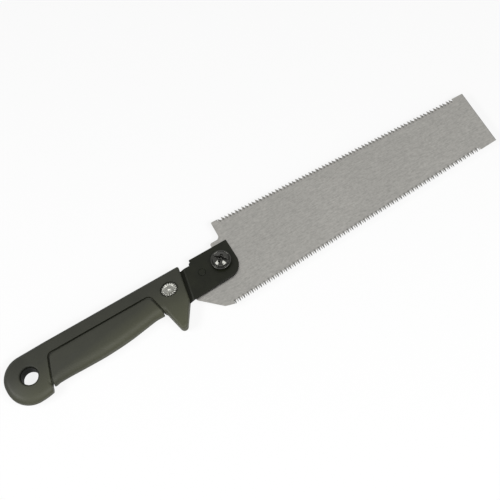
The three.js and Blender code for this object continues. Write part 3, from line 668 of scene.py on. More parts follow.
def crown(mesh):
    """Draws the flat sides in towards spine, belly, guard and rim, so that they are crowned."""
    for corner in mesh.verts:
        x, y = corner.co.x + pommel_x, corner.co.y
        along = smooth(x / crown_run)
        middle = pommel_y + (crown_middle - pommel_y) * along
        away = math.hypot(min(0, x), y - middle) / pommel_radius
        low = (1 - along) * smooth((pommel_lean_from - y) / pommel_lean_over)
        fall = away * away if away < 1 else 1 + crown_beyond * (away - 1)
        fall *= crown_drop + (pommel_drop - crown_drop) * low
        corner.co.z *= 1 - fall
        corner.co.y += math.copysign(fall * half_thickness * crown_spread, y - middle)
    return mesh


blank = add(add(add(body(), pommel), loft(tail_slices)), guard)
blank = add(cut(blank, grip_window(groove_width / 2)), body(grip_wall))
blank = crown(moulded(cut(blank, hang_hole), grain, 4))

pocket_half = plate_gauge / 2 + fit_gap
pocket = plate(tang_outline([
    (-handle_front + overrun, head_bottom_at(-handle_front) - fit_gap, 0),
    (-handle_front + overrun, neck_top + fit_gap, 0),
], fit_gap), -pocket_half, pocket_half)
blank = cut(blank, pocket)


def drill(x, y, radius, bottom, top, countersink=0.3, share=1):
    """A bore with a small countersink at the end that is farther from the middle plane."""
    mouth = bottom if abs(bottom) > abs(top) else top
    inner = top if mouth == bottom else bottom
    past = mouth + math.copysign(overrun, mouth)
    edge = math.copysign(countersink, mouth)
    profile = [(0, inner), (radius, inner), (radius, mouth - edge),
               (radius + countersink + overrun, past), (0, past)]
    return turned(profile, x, y, share=share)


rivet_head_radius = 2.5
escutcheon_share = 0.83  # the oval cup's width, as a share of its length
escutcheon_floor = rivet_head_radius / escutcheon_share + 0.49
escutcheon_dish = 0.7
escutcheon_rim = 1.5
escutcheon_height = 1.6
escutcheon_proud = 0.4
escutcheon_reach = escutcheon_floor + escutcheon_dish + escutcheon_rim
escutcheon_margin = 0.8
back_washer_radius = 5
back_recess = 2
shell_screw_radius = 1.5
shell_screw_head = 2.8
shell_screw_sink = 2.2
shell_screw_bite = 3.6
shell_screws = {"rear_shell_screw": (13.6 - pommel_x, 6), "middle_shell_screw": (-tang_end - 7, 6)}
parting = 0.03  # half the width of the line between the shells
parting_break = 0.15  # how far the shells' edges are broken along it
bore_reach = 9  # past either side of the handle

room = rectangle(-100, 0, 100, 60)
right = cut(blank.copy(), plate(room, parting, 20), "INTERSECT")
left = cut(blank, plate(room, -20, -parting), "INTERSECT")
right = cut(right, drill(-rivet_x, rivet_y, escutcheon_reach + escutcheon_margin,
                         half_thickness + escutcheon_proud - escutcheon_height, half_thickness,
                         share=escutcheon_share))
right = cut(right, rod(rivet_radius + bore_gap, -overrun, bore_reach, -rivet_x, rivet_y))
left = cut(left, drill(-rivet_x, rivet_y, back_washer_radius + bore_gap,
                       -half_thickness, back_recess - half_thickness))
left = cut(left, rod(rivet_radius + bore_gap, overrun, -bore_reach, -rivet_x, rivet_y))
for screw_x, screw_y in shell_screws.values():
    bore_radius = shell_screw_radius + bore_gap
    right = cut(right, rod(bore_radius, -overrun, shell_screw_bite + fit_gap, screw_x, screw_y))
    left = cut(left, rod(bore_radius, overrun, -bore_reach, screw_x, screw_y))
    left = cut(left, drill(screw_x, screw_y, shell_screw_head + bore_gap,
                           -half_thickness, shell_screw_sink - half_thickness))
for shell in (right, left):
    for corner in shell.verts:
        if abs(corner.co.z) < parting + 0.001:
            outward = Vector((corner.normal.x, corner.normal.y, 0))
            if outward.length > 0.2:
                corner.co -= outward.normalized() * parting_break


def painted_belly_light(material, colour, along, start, end):
    """A skin's colour, painted paler between two depths below the middle line, which lean along the
    handle by a share: painted light for the light that falls on the lower side."""
    depth = node(material, "ShaderNodeVectorMath", {
        0: bench_place(material), 1: (along, -1, 0)}, operation="DOT_PRODUCT")
    return two_tones(material, depth.outputs["Value"], colour, linear("#424333"), start, end)


# Nylon with glass, spark-eroded mould skin: matt, very fine grain, slightly cloudy tone. The
# real grain, about 0.1 mm, is too fine to show, so it is drawn coarser.
nylon, shader = new_material("charcoal nylon with spark-eroded skin")
where = node(nylon, "ShaderNodeTexCoord").outputs["Object"]
skin = node(nylon, "ShaderNodeTexNoise", {
    "Vector": where, "Scale": per_mm(0.45), "Detail": 4, "Roughness": 0.6})
cloud = node(nylon, "ShaderNodeTexNoise", {
    "Vector": where, "Scale": per_mm(14), "Detail": 5, "Roughness": 0.65})
colour = two_tones(nylon, cloud.outputs["Fac"], linear("#1F2018"), linear("#26271E"))
gloss = node(nylon, "ShaderNodeMapRange", {
    "Value": cloud.outputs["Fac"], "From Min": 0.3, "From Max": 0.7, "To Min": 0.46, "To Max": 0.58})
# Painted light: paler towards the belly, for the light that falls on the lower side.
colour = painted_belly_light(nylon, colour, 0.03, -4, 24)

# Painted shade: inside the hanging hole the wall is drawn near black and with little sheen, as the shade
# in the hole.
from_hole = node(nylon, "ShaderNodeVectorMath", {
    0: bench_place(nylon), 1: (1, 1, 0), 2: (hang_x, -hang_y, 0)}, operation="MULTIPLY_ADD")
hole_distance = node(nylon, "ShaderNodeVectorMath", {
    0: from_hole.outputs["Vector"]}, operation="LENGTH")
outside = node(nylon, "ShaderNodeMapRange", {
    "Value": hole_distance.outputs["Value"], "From Min": hang_radius + 0.3,
    "From Max": hang_radius + hang_flare})
colour = node(nylon, "ShaderNodeMix", {
    0: outside.outputs["Result"], 6: linear("#0F100B"), 7: colour}, data_type="RGBA").outputs[2]
sheen = node(nylon, "ShaderNodeMapRange", {
    "Value": outside.outputs["Result"], "To Min": 0.04, "To Max": 0.35})
bump = node(nylon, "ShaderNodeBump", {
    "Height": skin.outputs["Fac"], "Strength": 0.35, "Distance": 0.00004})
connect(nylon, shader, {
    "Base Color": colour, "Roughness": gloss.outputs["Result"],
    "Specular IOR Level": sheen.outputs["Result"], "Normal": bump.outputs["Normal"]})
piece("right_shell", right, "handle", nylon, ["right_handle_shell"], sharp=40)
piece("left_shell", left, "handle", nylon, ["left_handle_shell"], sharp=40)


# Grip. A sleeve of thermoplastic elastomer moulded over the belly, in a groove of its own,
# with sides that swell a little beyond the shells.
grip_steps = 100
grip_swell = 0.7
swell_start_share = 0.15
swell_end_share = 0.82
grip_end_share = 0.95
grip_slices = []
for k in range(grip_steps + 1):
    along = (k / grip_steps - swell_start_share) / (swell_end_share - swell_start_share)
    swelling = math.sin(math.pi * max(0, min(1, along)))
    grip_slices.append(body_slice(grip_end_share * k / grip_steps, 0, fit_gap + grip_swell * swelling))
sleeve = cut(loft(grip_slices), grip_window(-groove_width / 2), "INTERSECT")
sleeve = crown(moulded(cut(sleeve, body(grip_wall - fit_gap)), grain, 6))

# Elastomer, bead-blasted mould skin: matt and soft, with faint smudges. Its real grain, about
# 0.15 mm, is drawn coarser too.
elastomer, shader = new_material("charcoal elastomer with blasted skin")
where = node(elastomer, "ShaderNodeTexCoord").outputs["Object"]
skin = node(elastomer, "ShaderNodeTexNoise", {
    "Vector": where, "Scale": per_mm(0.6), "Detail": 3, "Roughness": 0.5})
smudge = node(elastomer, "ShaderNodeTexNoise", {
    "Vector": where, "Scale": per_mm(11), "Detail": 6, "Roughness": 0.7})
colour = two_tones(elastomer, smudge.outputs["Fac"], linear("#24251C"), linear("#2B2C23"))
# Painted light: paler towards the belly, for the light that falls on the lower side.
colour = painted_belly_light(elastomer, colour, 0.15, -8, 6)
gloss = node(elastomer, "ShaderNodeMapRange", {
    "Value": smudge.outputs["Fac"], "From Min": 0.3, "From Max": 0.7, "To Min": 0.5, "To Max": 0.64})
bump = node(elastomer, "ShaderNodeBump", {
    "Height": skin.outputs["Fac"], "Strength": 0.4, "Distance": 0.00005})
connect(elastomer, shader, {
    "Base Color": colour, "Roughness": gloss.outputs["Result"],
    "Specular IOR Level": 0.35, "Normal": bump.outputs["Normal"]})
piece("grip", sleeve, "handle", elastomer, ["grip_sleeve"], sharp=60)


# Rivet of the tang. A steel rivet goes through both shells and the tang: its domed head sits
# in a plated oval cup with a milled rim, and its other end on a round washer in the left shell.
rim_top = half_thickness + escutcheon_proud
cup_floor = rim_top - escutcheon_dish
cup_bottom = rim_top - escutcheon_height
cup_hole = rivet_radius + bore_gap
mill_count = 18
mill_depth = 0.4
cup = turned(eased([
    (cup_hole / escutcheon_share, cup_floor),
    (escutcheon_floor, cup_floor),
    (escutcheon_floor + escutcheon_dish, rim_top - 0.1),
    (escutcheon_reach - 0.7, rim_top),
    (escutcheon_reach, rim_top - 0.6),
    (escutcheon_reach, cup_bottom),
    (cup_hole / escutcheon_share, cup_bottom),
], 0.25), -rivet_x, rivet_y, 12 * mill_count, escutcheon_share)
for corner in cup.verts:
    out = Vector((corner.co.x + rivet_x, (corner.co.y - rivet_y) / escutcheon_share))
    if out.length > escutcheon_floor + escutcheon_dish and corner.co.z > rim_top - 1:
        notch = mill_depth * ((1 - math.cos(mill_count * math.atan2(out.y, out.x))) / 2) ** 3
        corner.co.x -= notch * out.x / out.length
        corner.co.y -= notch * out.y / out.length * escutcheon_share
        corner.co.z -= notch
rivet_head = [
    (rivet_head_radius, 0), (2.35, 0.3), (1.6, 0.4), (1.35, 0.75), (0.9, 1.05), (0.45, 1.18), (0, 1.2),
]

# Nickel plate on the cup and the rivet: bright, and a little uneven from polishing.
bright_plate, shader = new_material("bright nickel plate")
where = node(bright_plate, "ShaderNodeTexCoord").outputs["Object"]
polish = node(bright_plate, "ShaderNodeTexNoise", {"Vector": where, "Scale": per_mm(0.8), "Detail": 5})
gloss = node(bright_plate, "ShaderNodeMapRange", {
    "Value": polish.outputs["Fac"], "From Min": 0.3, "From Max": 0.7, "To Min": 0.2, "To Max": 0.36})
bump = node(bright_plate, "ShaderNodeBump", {
    "Height": polish.outputs["Fac"], "Strength": 0.2, "Distance": 0.00005})
connect(bright_plate, shader, {
    "Base Color": linear("#94948E"), "Metallic": 1,
    "Roughness": gloss.outputs["Result"], "Normal": bump.outputs["Normal"]})
piece("rivet_cup", cup, "handle", bright_plate, ["rivet_escutcheon"])

washer_seat = back_recess - half_thickness
washer_gauge = 0.8
rivet_foot = washer_seat - washer_gauge
rivet = turned([
    *[(r, rivet_foot - z) for r, z in rivet_head[::-1]],
    (rivet_radius, rivet_foot),
    (rivet_radius, cup_floor),
    *[(r, cup_floor + z) for r, z in rivet_head],
], -rivet_x, rivet_y)
piece("rivet", rivet, "handle", bright_plate, ["tang_rivet"])

# Zinc plate on the small steel parts: dull silver with a faint bluish and straw cast.
zinc, shader = new_material("zinc plate with clear passivation")
where = node(zinc, "ShaderNodeTexCoord").outputs["Object"]
cast = node(zinc, "ShaderNodeTexNoise", {"Vector": where, "Scale": per_mm(2.5), "Detail": 3})
crystal = node(zinc, "ShaderNodeTexNoise", {"Vector": where, "Scale": per_mm(0.3), "Detail": 3})
colour = node(zinc, "ShaderNodeMix", {
    0: cast.outputs["Fac"], 6: linear("#8E9296"), 7: linear("#9C978A")}, data_type="RGBA").outputs[2]
gloss = node(zinc, "ShaderNodeMapRange", {"Value": cast.outputs["Fac"], "To Min": 0.3, "To Max": 0.5})
bump = node(zinc, "ShaderNodeBump", {
    "Height": crystal.outputs["Fac"], "Strength": 0.2, "Distance": 0.00003})
connect(zinc, shader, {
    "Base Color": colour, "Metallic": 1,
    "Roughness": gloss.outputs["Result"], "Normal": bump.outputs["Normal"]})
washer = turned(eased([
    (cup_hole, rivet_foot),
    (back_washer_radius, rivet_foot),
    (back_washer_radius, washer_seat),
    (cup_hole, washer_seat),
], 0.15), -rivet_x, rivet_y)
piece("back_washer", washer, "handle", zinc, ["rivet_washer"])


# Shell screws. Two pan-head steel screws with cross recesses pull the left shell to the right
# one from the hidden side.
screw_seat = shell_screw_sink - half_thickness
screw_end = screw_seat - 1.6
cross_arms = ((1.6, 0.36), (0.36, 1.6))
cross_depth = 0.9
for name, (screw_x, screw_y) in shell_screws.items():
    profile = eased([
        (0, screw_end),
        (shell_screw_head - 0.9, screw_end),
        (shell_screw_head, screw_end + 0.9),
        (shell_screw_head, screw_seat),
        (shell_screw_radius, screw_seat),
        (shell_screw_radius, shell_screw_bite - shell_screw_radius),
        (0, shell_screw_bite),
    ], 0.5)
    made = turned(profile, screw_x, screw_y)
    for long, wide in cross_arms:
        arm = rectangle(screw_x, screw_y, long, wide)
        made = cut(made, plate(arm, screw_end - overrun, screw_end + cross_depth))
    piece(name.replace("shell_screw", "pan_screw"), made, "handle", zinc, [name])


# Blade. Spring steel 0.6 mm thick, ground and hard chromed, with rip teeth on one edge and
# crosscut teeth on the other; every second tooth leans the other way. A slot in its tail
# takes the locating pin and the clamp screw.
blade_reach = 217.3
toe_lean = 1.7
toe_drop = 0.5
rip_pitch = 2.75
rip_depth = 2.4
rip_tip_height = 31.89
rip_start = 13.8
rip_bare_toe = 8
crosscut_pitch = 1.75
crosscut_depth = 3
crosscut_tip_height = 32.29
crosscut_start = -7
crosscut_bare_toe = 12.8
tooth_set = 0.15
toe_bevel = 0.5
tail_end = bend_front - 1.08
tail_corner = 2
slope_top = 13.9
slope_foot = 14
slope_foot_height = 29.9
ledge_height = 16.9
ledge_end = -0.2
heel_top_x = 8.7
heel_foot_x = 8
tail_top = 8
slot_half = screw_radius + bore_gap


def rip_tip(x):
    """The line through the tips of the rip teeth."""
    return rip_tip_height - x * blade_taper


def crosscut_tip(x):
    """The line through the tips of the crosscut teeth."""
    return x * blade_taper - crosscut_tip_height


def tail_rear(y):
    """The slanted rear edge of the tail."""
    return y * slant - tail_end


def tooth_row(start, end, pitch, tip_at, depth, profile):
    """The whole teeth that fit between two places. A tooth is its start and end along the blade,
    the points round it as (x, y, share of the set), the same points where the bevel ground on
    one of its sides leaves that side's face, and the side that it leans to."""
    step = pitch * math.cos(math.atan(blade_taper))
    row = []
    for i in range(int((end - start) / step)):
        x = start + i * step
        whole, ground = [], []
        for place, height, narrowing, lowering in profile:
            spot = x + place * step
            whole.append((spot, tip_at(spot) - (1 - height) * depth, height))
            spot += narrowing * step
            ground.append((spot, tip_at(spot) - (1 - height + lowering) * depth, height))
        row.append((x, x + step, whole, ground, 1 if i % 2 else -1))
    return row


# Each tooth: a rounded gullet, the cutting face, the tip and the long back, which the
# crosscut teeth share between a back and a short top facet. A point is its place along the pitch,
# its height, and how far its bevel is ground back along the pitch and down, all as shares.
rip_profile = [
    (0.03, 0.04, 0.06, 0), (0.08, 0.2, 0.12, 0), (0.2, 1, 0.06, 0.2), (0.6, 0.46, -0.04, 0.16),
    (0.93, 0.05, -0.02, 0.02),
]
crosscut_profile = [
    (0.05, 0.03, 0.14, 0), (0.34, 1, 0.06, 0.35), (0.58, 0.7, -0.1, 0.2), (0.93, 0.03, -0.16, 0),
]
toe_top = blade_reach + toe_lean / 2
toe_bottom = blade_reach - toe_lean / 2
rip_teeth = tooth_row(rip_start, toe_top - rip_bare_toe, rip_pitch, rip_tip, rip_depth, rip_profile)
crosscut_teeth = tooth_row(crosscut_start, toe_bottom - crosscut_bare_toe, crosscut_pitch,
                           crosscut_tip, -crosscut_depth, crosscut_profile)
rip_end = rip_teeth[-1][1]
crosscut_end = crosscut_teeth[-1][1]
lower_heel = rounded([
    (tail_rear(-slot_half), -slot_half, 0),
    (tail_rear(-slope_top), -slope_top, tail_corner),
    (tail_rear(-slope_top) + 0.7, -slope_top - tail_corner, 0),
    (-slope_foot, -slope_foot_height, 3),
    (crosscut_start, crosscut_tip(crosscut_start) + toe_drop, 0),
    (0, 0, 0),
])[:-1]
upper_heel = rounded([
    (rip_start, rip_tip(rip_start) - toe_drop, 0),
    (heel_top_x, rip_tip(heel_top_x) - toe_drop, 0.7),
    (heel_foot_x, ledge_height, 3),
    (ledge_end, ledge_height, 1.6),
    (ledge_end, tail_top, 2),
    (tail_rear(tail_top), tail_top, tail_corner),
    (tail_rear(slot_half), slot_half, 0),
    (0, 0, 0),
])[:-1]
toe = [
    *[Vector((x, crosscut_tip(x) + toe_drop)) for x in (crosscut_end, toe_bottom)],
    *[Vector((x, rip_tip(x) - toe_drop)) for x in (toe_top, rip_end)],
]
slot_round = [Vector((slot_half * math.cos(a), slot_half * math.sin(a)))
              for a in [math.radians(90 - 6 * k) for k in range(31)]]

contour = [*lower_heel]
tooth_after = {}
for x, _, whole, ground, side in crosscut_teeth:
    tooth_after[len(contour)] = (whole, ground, side)
    contour.append(Vector((x, crosscut_tip(x) + crosscut_depth)))
contour.append(Vector((crosscut_end, crosscut_tip(crosscut_end) + crosscut_depth)))
toe_corner = len(contour) + 1
contour += toe
for _, x, whole, ground, side in rip_teeth[::-1]:
    tooth_after[len(contour)] = (whole[::-1], ground[::-1], side)
    contour.append(Vector((x, rip_tip(x) - rip_depth)))
contour.append(Vector((rip_start, rip_tip(rip_start) - rip_depth)))
contour += [*upper_heel, *slot_round]

blade_mesh = bmesh.new()
front, back = [], []
for i, spot in enumerate(contour):
    bevel = toe_bevel if i in (toe_corner, toe_corner + 1) else 0
    front.append(blade_mesh.verts.new((spot.x - bevel, spot.y, blade_half)))
    back.append(blade_mesh.verts.new((spot.x, spot.y, -blade_half)))
for a, b, c in tessellate_polygon([[corner.co for corner in front]]):
    blade_mesh.faces.new((front[a], front[b], front[c]))
    blade_mesh.faces.new((back[c], back[b], back[a]))
for i in range(len(contour)):
    after = (i + 1) % len(contour)
    chain = [(front[i], back[i])]
    if i in tooth_after:
        whole, ground, side = tooth_after[i]
        upper, lower = (ground, whole) if side < 0 else (whole, ground)
        for over, under in zip(upper, lower):
            chain.append((
                blade_mesh.verts.new((over[0], over[1], blade_half + side * tooth_set * over[2])),
                blade_mesh.verts.new((under[0], under[1], side * tooth_set * under[2] - blade_half)),
            ))
    chain.append((front[after], back[after]))
    for (over, under), (next_over, next_under) in zip(chain, chain[1:]):
        facet = blade_mesh.faces.new((over, under, next_under, next_over))
        facet.material_index = int(len(chain) > 2 or i == toe_corner)
    for face in (0, 1):
        if len(chain) > 2:
            blade_mesh.faces.new([pair[face] for pair in chain])

# Hard chrome on ground steel: satin, with a fine mottle and faint lines along the blade. The
# lines of a grinding wheel are finer than 0.1 mm and are drawn coarser here.
chrome, shader = new_material("hard chrome on ground spring steel")
where = node(chrome, "ShaderNodeTexCoord").outputs["Object"]
stretch = node(chrome, "ShaderNodeMapping", {"Vector": where, "Scale": (0.12, 1, 1)})
lines = node(chrome, "ShaderNodeTexNoise", {
    "Vector": stretch.outputs["Vector"], "Scale": per_mm(0.5), "Detail": 4})
mottle = node(chrome, "ShaderNodeTexNoise", {
    "Vector": where, "Scale": per_mm(1.6), "Detail": 5, "Roughness": 0.7})
cloud = node(chrome, "ShaderNodeTexNoise", {"Vector": where, "Scale": per_mm(45), "Detail": 3})
mixed = node(chrome, "ShaderNodeMath", {
    0: mottle.outputs["Fac"], 1: lines.outputs["Fac"]}, operation="ADD")
colour = two_tones(chrome, mixed.outputs[0], linear("#8D8C88"), linear("#A8A6A1"), 0.7, 1.3)
gloss = node(chrome, "ShaderNodeMapRange", {
    "Value": cloud.outputs["Fac"], "From Min": 0.3, "From Max": 0.7, "To Min": 0.3, "To Max": 0.42})
bump = node(chrome, "ShaderNodeBump", {
    "Height": mixed.outputs[0], "Strength": 0.15, "Distance": 0.00002})

# Each tooth has a soft dark spot at its root, drawn in the colour.
place = node(chrome, "ShaderNodeSeparateXYZ", {0: bench_place(chrome)})


def row_of_spots(first, last, repeat, side, tip_height, depth, reach):
    """Soft dark spots from the first to the last place along a row, at a depth below its tips."""
    turn = 2 * math.pi / repeat
    angle = node(chrome, "ShaderNodeMath", {
        0: place.outputs["X"], 1: turn, 2: -turn * first}, operation="MULTIPLY_ADD")
    wave = node(chrome, "ShaderNodeMath", {0: angle.outputs[0]}, operation="COSINE")
    across = node(chrome, "ShaderNodeMapRange", {
        "Value": wave.outputs[0], "From Min": 0, "From Max": 0.9})
    tilted = node(chrome, "ShaderNodeMath", {
        0: place.outputs["X"], 1: -blade_taper, 2: tip_height - depth}, operation="MULTIPLY_ADD")
    level = node(chrome, "ShaderNodeMath", {
        0: place.outputs["Y"], 1: side, 2: tilted.outputs[0]}, operation="MULTIPLY_ADD")
    off = node(chrome, "ShaderNodeMath", {0: level.outputs[0]}, operation="ABSOLUTE")
    near = node(chrome, "ShaderNodeMapRange", {
        "Value": off.outputs[0], "From Min": reach, "From Max": reach / 4})
    before = node(chrome, "ShaderNodeMath", {
        0: place.outputs["X"], 1: last + repeat / 2}, operation="LESS_THAN")
    after = node(chrome, "ShaderNodeMath", {
        0: place.outputs["X"], 1: first - repeat / 2}, operation="GREATER_THAN")
    spots = across.outputs["Result"]
    for factor in (near.outputs["Result"], before.outputs[0], after.outputs[0]):
        spots = node(chrome, "ShaderNodeMath", {0: spots, 1: factor}, operation="MULTIPLY").outputs[0]
    return spots


rip_step = rip_teeth[0][1] - rip_teeth[0][0]
rip_spot_share = 0.52  # where a tooth's spot lies, from its start, as a share of its length
rip_spots = row_of_spots(
    rip_start + rip_spot_share * rip_step, rip_end - (1 - rip_spot_share) * rip_step, rip_step,
    -1, rip_tip_height, depth=2.4, reach=1.5)
crosscut_step = crosscut_teeth[0][1] - crosscut_teeth[0][0]
crosscut_spot_share = 0.34  # the crosscut teeth have one spot for each pair
crosscut_spots = row_of_spots(
    crosscut_start + crosscut_spot_share * crosscut_step,
    crosscut_end - (2 - crosscut_spot_share) * crosscut_step, 2 * crosscut_step,
    1, crosscut_tip_height, depth=2.9, reach=1)
root_spots = node(chrome, "ShaderNodeMath", {
    0: crosscut_spots, 1: 0.7, 2: rip_spots}, operation="MULTIPLY_ADD")
shade = node(chrome, "ShaderNodeMath", {0: root_spots.outputs[0], 1: 0.75}, operation="MULTIPLY")
colour = node(chrome, "ShaderNodeMix", {
    0: shade.outputs[0], 6: colour, 7: linear("#4E4C49")}, data_type="RGBA").outputs[2]
connect(chrome, shader, {
    "Base Color": colour, "Metallic": 1,
    "Roughness": gloss.outputs["Result"], "Normal": bump.outputs["Normal"]})

# Bare steel of the toe's bevel and of the tooth facets: the grinding wheel leaves it darker
# than the chrome, with a fine speckle, drawn coarser than the real one.
ground_steel, shader = new_material("bare steel, ground with a fine wheel")
where = node(ground_steel, "ShaderNodeTexCoord").outputs["Object"]
scratch = node(ground_steel, "ShaderNodeTexNoise", {
    "Vector": where, "Scale": per_mm(0.25), "Detail": 3})
colour = node(ground_steel, "ShaderNodeMix", {
    0: scratch.outputs["Fac"], 6: linear("#4C4B48"), 7: linear("#6A6966")}, data_type="RGBA").outputs[2]
bump = node(ground_steel, "ShaderNodeBump", {
    "Height": scratch.outputs["Fac"], "Strength": 0.2, "Distance": 0.00002})
connect(ground_steel, shader, {
    "Base Color": colour, "Metallic": 1, "Roughness": 0.35, "Normal": bump.outputs["Normal"]})
blade = piece("toothed_blade", blade_mesh, "blade", chrome, ["saw_blade"], sharp=12)
blade.data.materials.append(ground_steel)


# Clamp plate and nut. A loose steel plate of the head's outline presses the blade's tail to
# the holder. The hexagon nut is pressed into it by its collar, so it can't turn.
clamp_inset = 0.8
plate_rear = pin_x + pin_radius + 2.4
clamp_outline = rounded([
    (-plate_rear, head_bottom_at(-plate_rear) + clamp_inset, 1.5),
    (head_end - clamp_inset, head_bottom_at(head_end) + clamp_inset, head_corner - clamp_inset),
    (head_end - clamp_inset, head_top - clamp_inset, 1.5),
    (-plate_rear, head_top - clamp_inset, 1.5),
])
collar_radius = 4.2
clamp = plate(clamp_outline, clamp_plate_back, -holder_back, holder_edge,
              [circle(0, 0, collar_radius + bore_gap), circle(-pin_x, 0, pin_radius + bore_gap)])
piece("clamp_cheek", clamp, "clamp", black_coat, ["clamp_plate"])

nut_height = 2.6
nut_flat = 5  # from the axis to a flat
nut_face_radius = 4.7
nut_chamfer = 0.7
collar_share = 0.8  # of the plate's gauge
nut_back = clamp_plate_back - nut_height
nut_reach = nut_flat / math.cos(math.pi / 6)
hexagon = plate(circle(0, 0, nut_reach, 6), nut_back, clamp_plate_back)
chamfer = turned([
    (0, nut_back), (nut_face_radius, nut_back), (nut_reach + 0.1, nut_back + nut_chamfer),
    (nut_reach + 0.1, clamp_plate_back), (0, clamp_plate_back),
])
collar = rod(collar_radius, clamp_plate_back - 1, clamp_plate_back + collar_share * plate_gauge)
nut = add(cut(hexagon, chamfer, "INTERSECT"), collar)
nut_bore = screw_radius + bore_gap
nut = cut(nut, turned([
    (0, nut_back - 1), (nut_bore + 1.4, nut_back - 1), (nut_bore, nut_back + 0.4), (nut_bore, 0), (0, 0),
]))
piece("hexagon_nut", nut, "clamp", black_coat, ["clamp_nut"])


# Spring washer. Flat-rolled steel wire, wound to one open ring with a slanted split and
# blackened. It sits between the holder and the screw's head.
washer_reach = 5.9
washer_height = 1.5
washer_inner = screw_radius + bore_gap
split_gap = 0.6
split_slant = 0.09
split_half = math.asin(split_gap / 2 / washer_inner)
coil = bmesh.new()
coil_rings = []
coil_steps = 90
middle_radius = (washer_reach + washer_inner) / 2
wire = rounded([(-1, -1, 0.2), (1, -1, 0.2), (1, 1, 0.2), (-1, 1, 0.2)], 22)
for k in range(coil_steps + 1):
    angle = split_half + (2 * math.pi - 2 * split_half) * k / coil_steps
    ring = []
    for spot in wire:
        radius = middle_radius + spot.x * (washer_reach - washer_inner) / 2
        z = holder_face + washer_height * (0.5 + spot.y / 2)
        turned_by = angle + (split_slant * spot.y if k in (0, coil_steps) else 0)
        ring.append(coil.verts.new((radius * math.cos(turned_by), radius * math.sin(turned_by), z)))
    coil_rings.append(ring)
for lower, upper in zip(coil_rings, coil_rings[1:]):
    ring_faces(coil, lower, upper)
coil.faces.new(coil_rings[0])
coil.faces.new(coil_rings[-1])
piece("split_washer", coil, "handle", black_coat, ["spring_washer"])


# Clamp screw. A large domed steel head with a flange, a driver slot right across and a short
# cross at its middle. It is turned, slotted, polished and then blackened in hot salts.
head_seat = holder_face + washer_height
head_height = 4.5
head_top_z = head_seat + head_height
flange_radius = 7.3
flange_top = head_top_z - 2.7
flange_inner = 6.5
slot_turn = -46  # degrees from the blade's length
screw_foot = nut_back - 0.6  # the screw's end stands out of the nut a little
slot_reach = 6.2
slot_half_width = 1.05
slot_depth = 2.9
recess_reach = 3.2
recess_half = 0.85
recess_depth = 3.7
recess_foot = 1.3
recess_wall = 1.6
polish_voxel = 0.1
polish_passes = 16

# The dome's drop at each radius: nearly flat in the middle, then a cone that mirrors the lamps.
dome = [
    (0, 0), (1.4, 0.05), (2.3, 0.2), (3, 0.5), (4.2, 1.16), (5.35, 1.8), (5.6, 2.1), (5.8, 2.5),
    (5.85, 3),
]
dome_steps = 24
dome_places = [dome[-1][0] * k / dome_steps for k in range(dome_steps, 0, -1)]
head = turned([
    (0, screw_foot), (screw_radius - 0.5, screw_foot), (screw_radius, screw_foot + 0.5),
    (screw_radius, head_seat),
    *eased([
        (flange_radius - 1, head_seat), (flange_radius, head_seat), (flange_radius, flange_top - 0.2),
        (flange_inner, flange_top), (flange_inner - 0.4, flange_top - 0.35),
    ], 0.5),
    *[(r, head_top_z - through(dome, r)) for r in dome_places],
    (0, head_top_z),
])
arms = []
for long, wide, deep in (
    (slot_reach, slot_half_width, slot_depth),
    (recess_half, recess_reach, recess_depth),
    (recess_reach, recess_half, recess_depth),
):
    arms.append(plate(rectangle(0, 0, long, wide), head_top_z - deep, head_top_z + overrun))
taper = turned([
    (0, head_top_z - recess_depth), (recess_foot, head_top_z - recess_depth),
    (recess_reach, head_top_z - recess_wall), (recess_reach + 0.8, head_top_z + overrun),
    (0, head_top_z + overrun),
])
cross = add(arms[0], cut(add(arms[1], arms[2]), taper, "INTERSECT"))
cross.transform(Matrix.Rotation(math.radians(slot_turn), 4, "Z"))
head = moulded(cut(head, cross), polish_voxel, polish_passes)

# Black oxide on polished steel, with a film of oil: near black, and glossy enough to show the
# lamps as two white patches.
black_oxide, shader = new_material("polished steel with black oxide")
where = node(black_oxide, "ShaderNodeTexCoord").outputs["Object"]
smear = node(black_oxide, "ShaderNodeTexNoise", {"Vector": where, "Scale": per_mm(3), "Detail": 4})
gloss = node(black_oxide, "ShaderNodeMapRange", {
    "Value": smear.outputs["Fac"], "From Min": 0.3, "From Max": 0.7, "To Min": 0.07, "To Max": 0.11})
bump = node(black_oxide, "ShaderNodeBump", {
    "Height": smear.outputs["Fac"], "Strength": 0.1, "Distance": 0.00005})
connect(black_oxide, shader, {
    "Base Color": linear("#0A0A08"), "Specular IOR Level": 0.62, "Specular Tint": linear("#FAFAF0"),
    "Roughness": gloss.outputs["Result"], "Normal": bump.outputs["Normal"]})
piece("dome_screw", head, "screw", black_oxide, ["clamp_screw"])


# Studio. White paper under the saw and white all round it. Two strip lights from the left and
# the front are mirrored in the screw's head, and two low softboxes light the sides of the grip.
surround_level = 0.15  # how much of its white the surround sheds on dull surfaces
floor_share = 0.85  # share of the floor that glows white where the lens or a shiny piece sees it
bpy.context.scene.view_settings.view_transform = "Standard"


def seen_or_mirrored(material):
    """1 where the lens, a shiny piece or a clear one looks, and 0 where it only sheds light."""
    path = node(material, "ShaderNodeLightPath")
    shiny = node(material, "ShaderNodeMath", {
        0: path.outputs["Is Glossy Ray"], 1: path.outputs["Is Transmission Ray"]}, operation="MAXIMUM")
    return node(material, "ShaderNodeMath", {
        0: path.outputs["Is Camera Ray"], 1: shiny.outputs[0]}, operation="MAXIMUM").outputs[0]


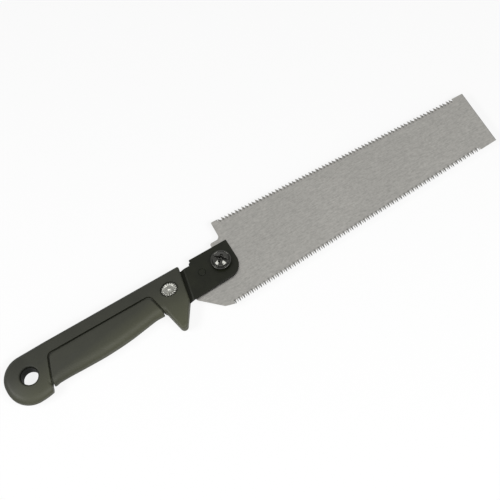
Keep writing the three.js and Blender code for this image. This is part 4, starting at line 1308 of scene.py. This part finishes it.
world = bpy.data.worlds.new("white surround")
bpy.context.scene.world = world
world.use_nodes = True
level = node(world, "ShaderNodeMapRange", {
    "Value": seen_or_mirrored(world), "To Min": surround_level, "To Max": 1})
connect(world, world.node_tree.nodes["Background"], {
    "Color": (1, 1, 1, 1), "Strength": level.outputs["Result"]})

floor_mesh = bmesh.new()
bmesh.ops.create_grid(floor_mesh, x_segments=1, y_segments=1, size=40)
floor_data = bpy.data.meshes.new("floor")
floor_mesh.to_mesh(floor_data)
floor_mesh.free()
floor = bpy.data.objects.new("floor", floor_data)
bpy.context.scene.collection.objects.link(floor)
floor.location.z = cad_box[0].z - 0.0002
white_paper, paper = new_material("matt white paper")
connect(white_paper, paper, {"Base Color": (0.9, 0.9, 0.9, 1), "Roughness": 1, "Specular IOR Level": 0})
share = node(white_paper, "ShaderNodeMath", {
    0: seen_or_mirrored(white_paper), 1: floor_share}, operation="MULTIPLY")
glow = node(white_paper, "ShaderNodeEmission", {"Color": (1, 1, 1, 1), "Strength": 1})
both = node(white_paper, "ShaderNodeMixShader", {
    0: share.outputs[0], 1: paper.outputs[0], 2: glow.outputs[0]})
connect(white_paper, white_paper.node_tree.nodes["Material Output"], {"Surface": both.outputs[0]})
floor_data.materials.append(white_paper)


def rectangular_lamp(name, toward, wide, high, watts):
    """A lamp that faces the clamp screw from a metre away."""
    lamp = bpy.data.objects.new(name, bpy.data.lights.new(name, "AREA"))
    bpy.context.scene.collection.objects.link(lamp)
    lamp.data.shape = "RECTANGLE"
    lamp.data.size = wide
    lamp.data.size_y = high
    lamp.data.energy = watts
    place = Vector(toward).normalized()
    lamp.location = axis_place + place
    lamp.rotation_mode = "QUATERNION"
    lamp.rotation_quaternion = place.to_track_quat("Z", "Y")


rectangular_lamp("left strip light", (-0.69, 0.02, 0.72), 0.5, 0.24, 5)
rectangular_lamp("front strip light", (0.22, -0.56, 0.8), 0.5, 0.24, 5)
rectangular_lamp("left softbox", (-0.5, -0.7, 0.5), 0.6, 0.6, 1.4)
rectangular_lamp("right softbox", (0.45, -0.74, 0.5), 0.6, 0.6, 1.2)
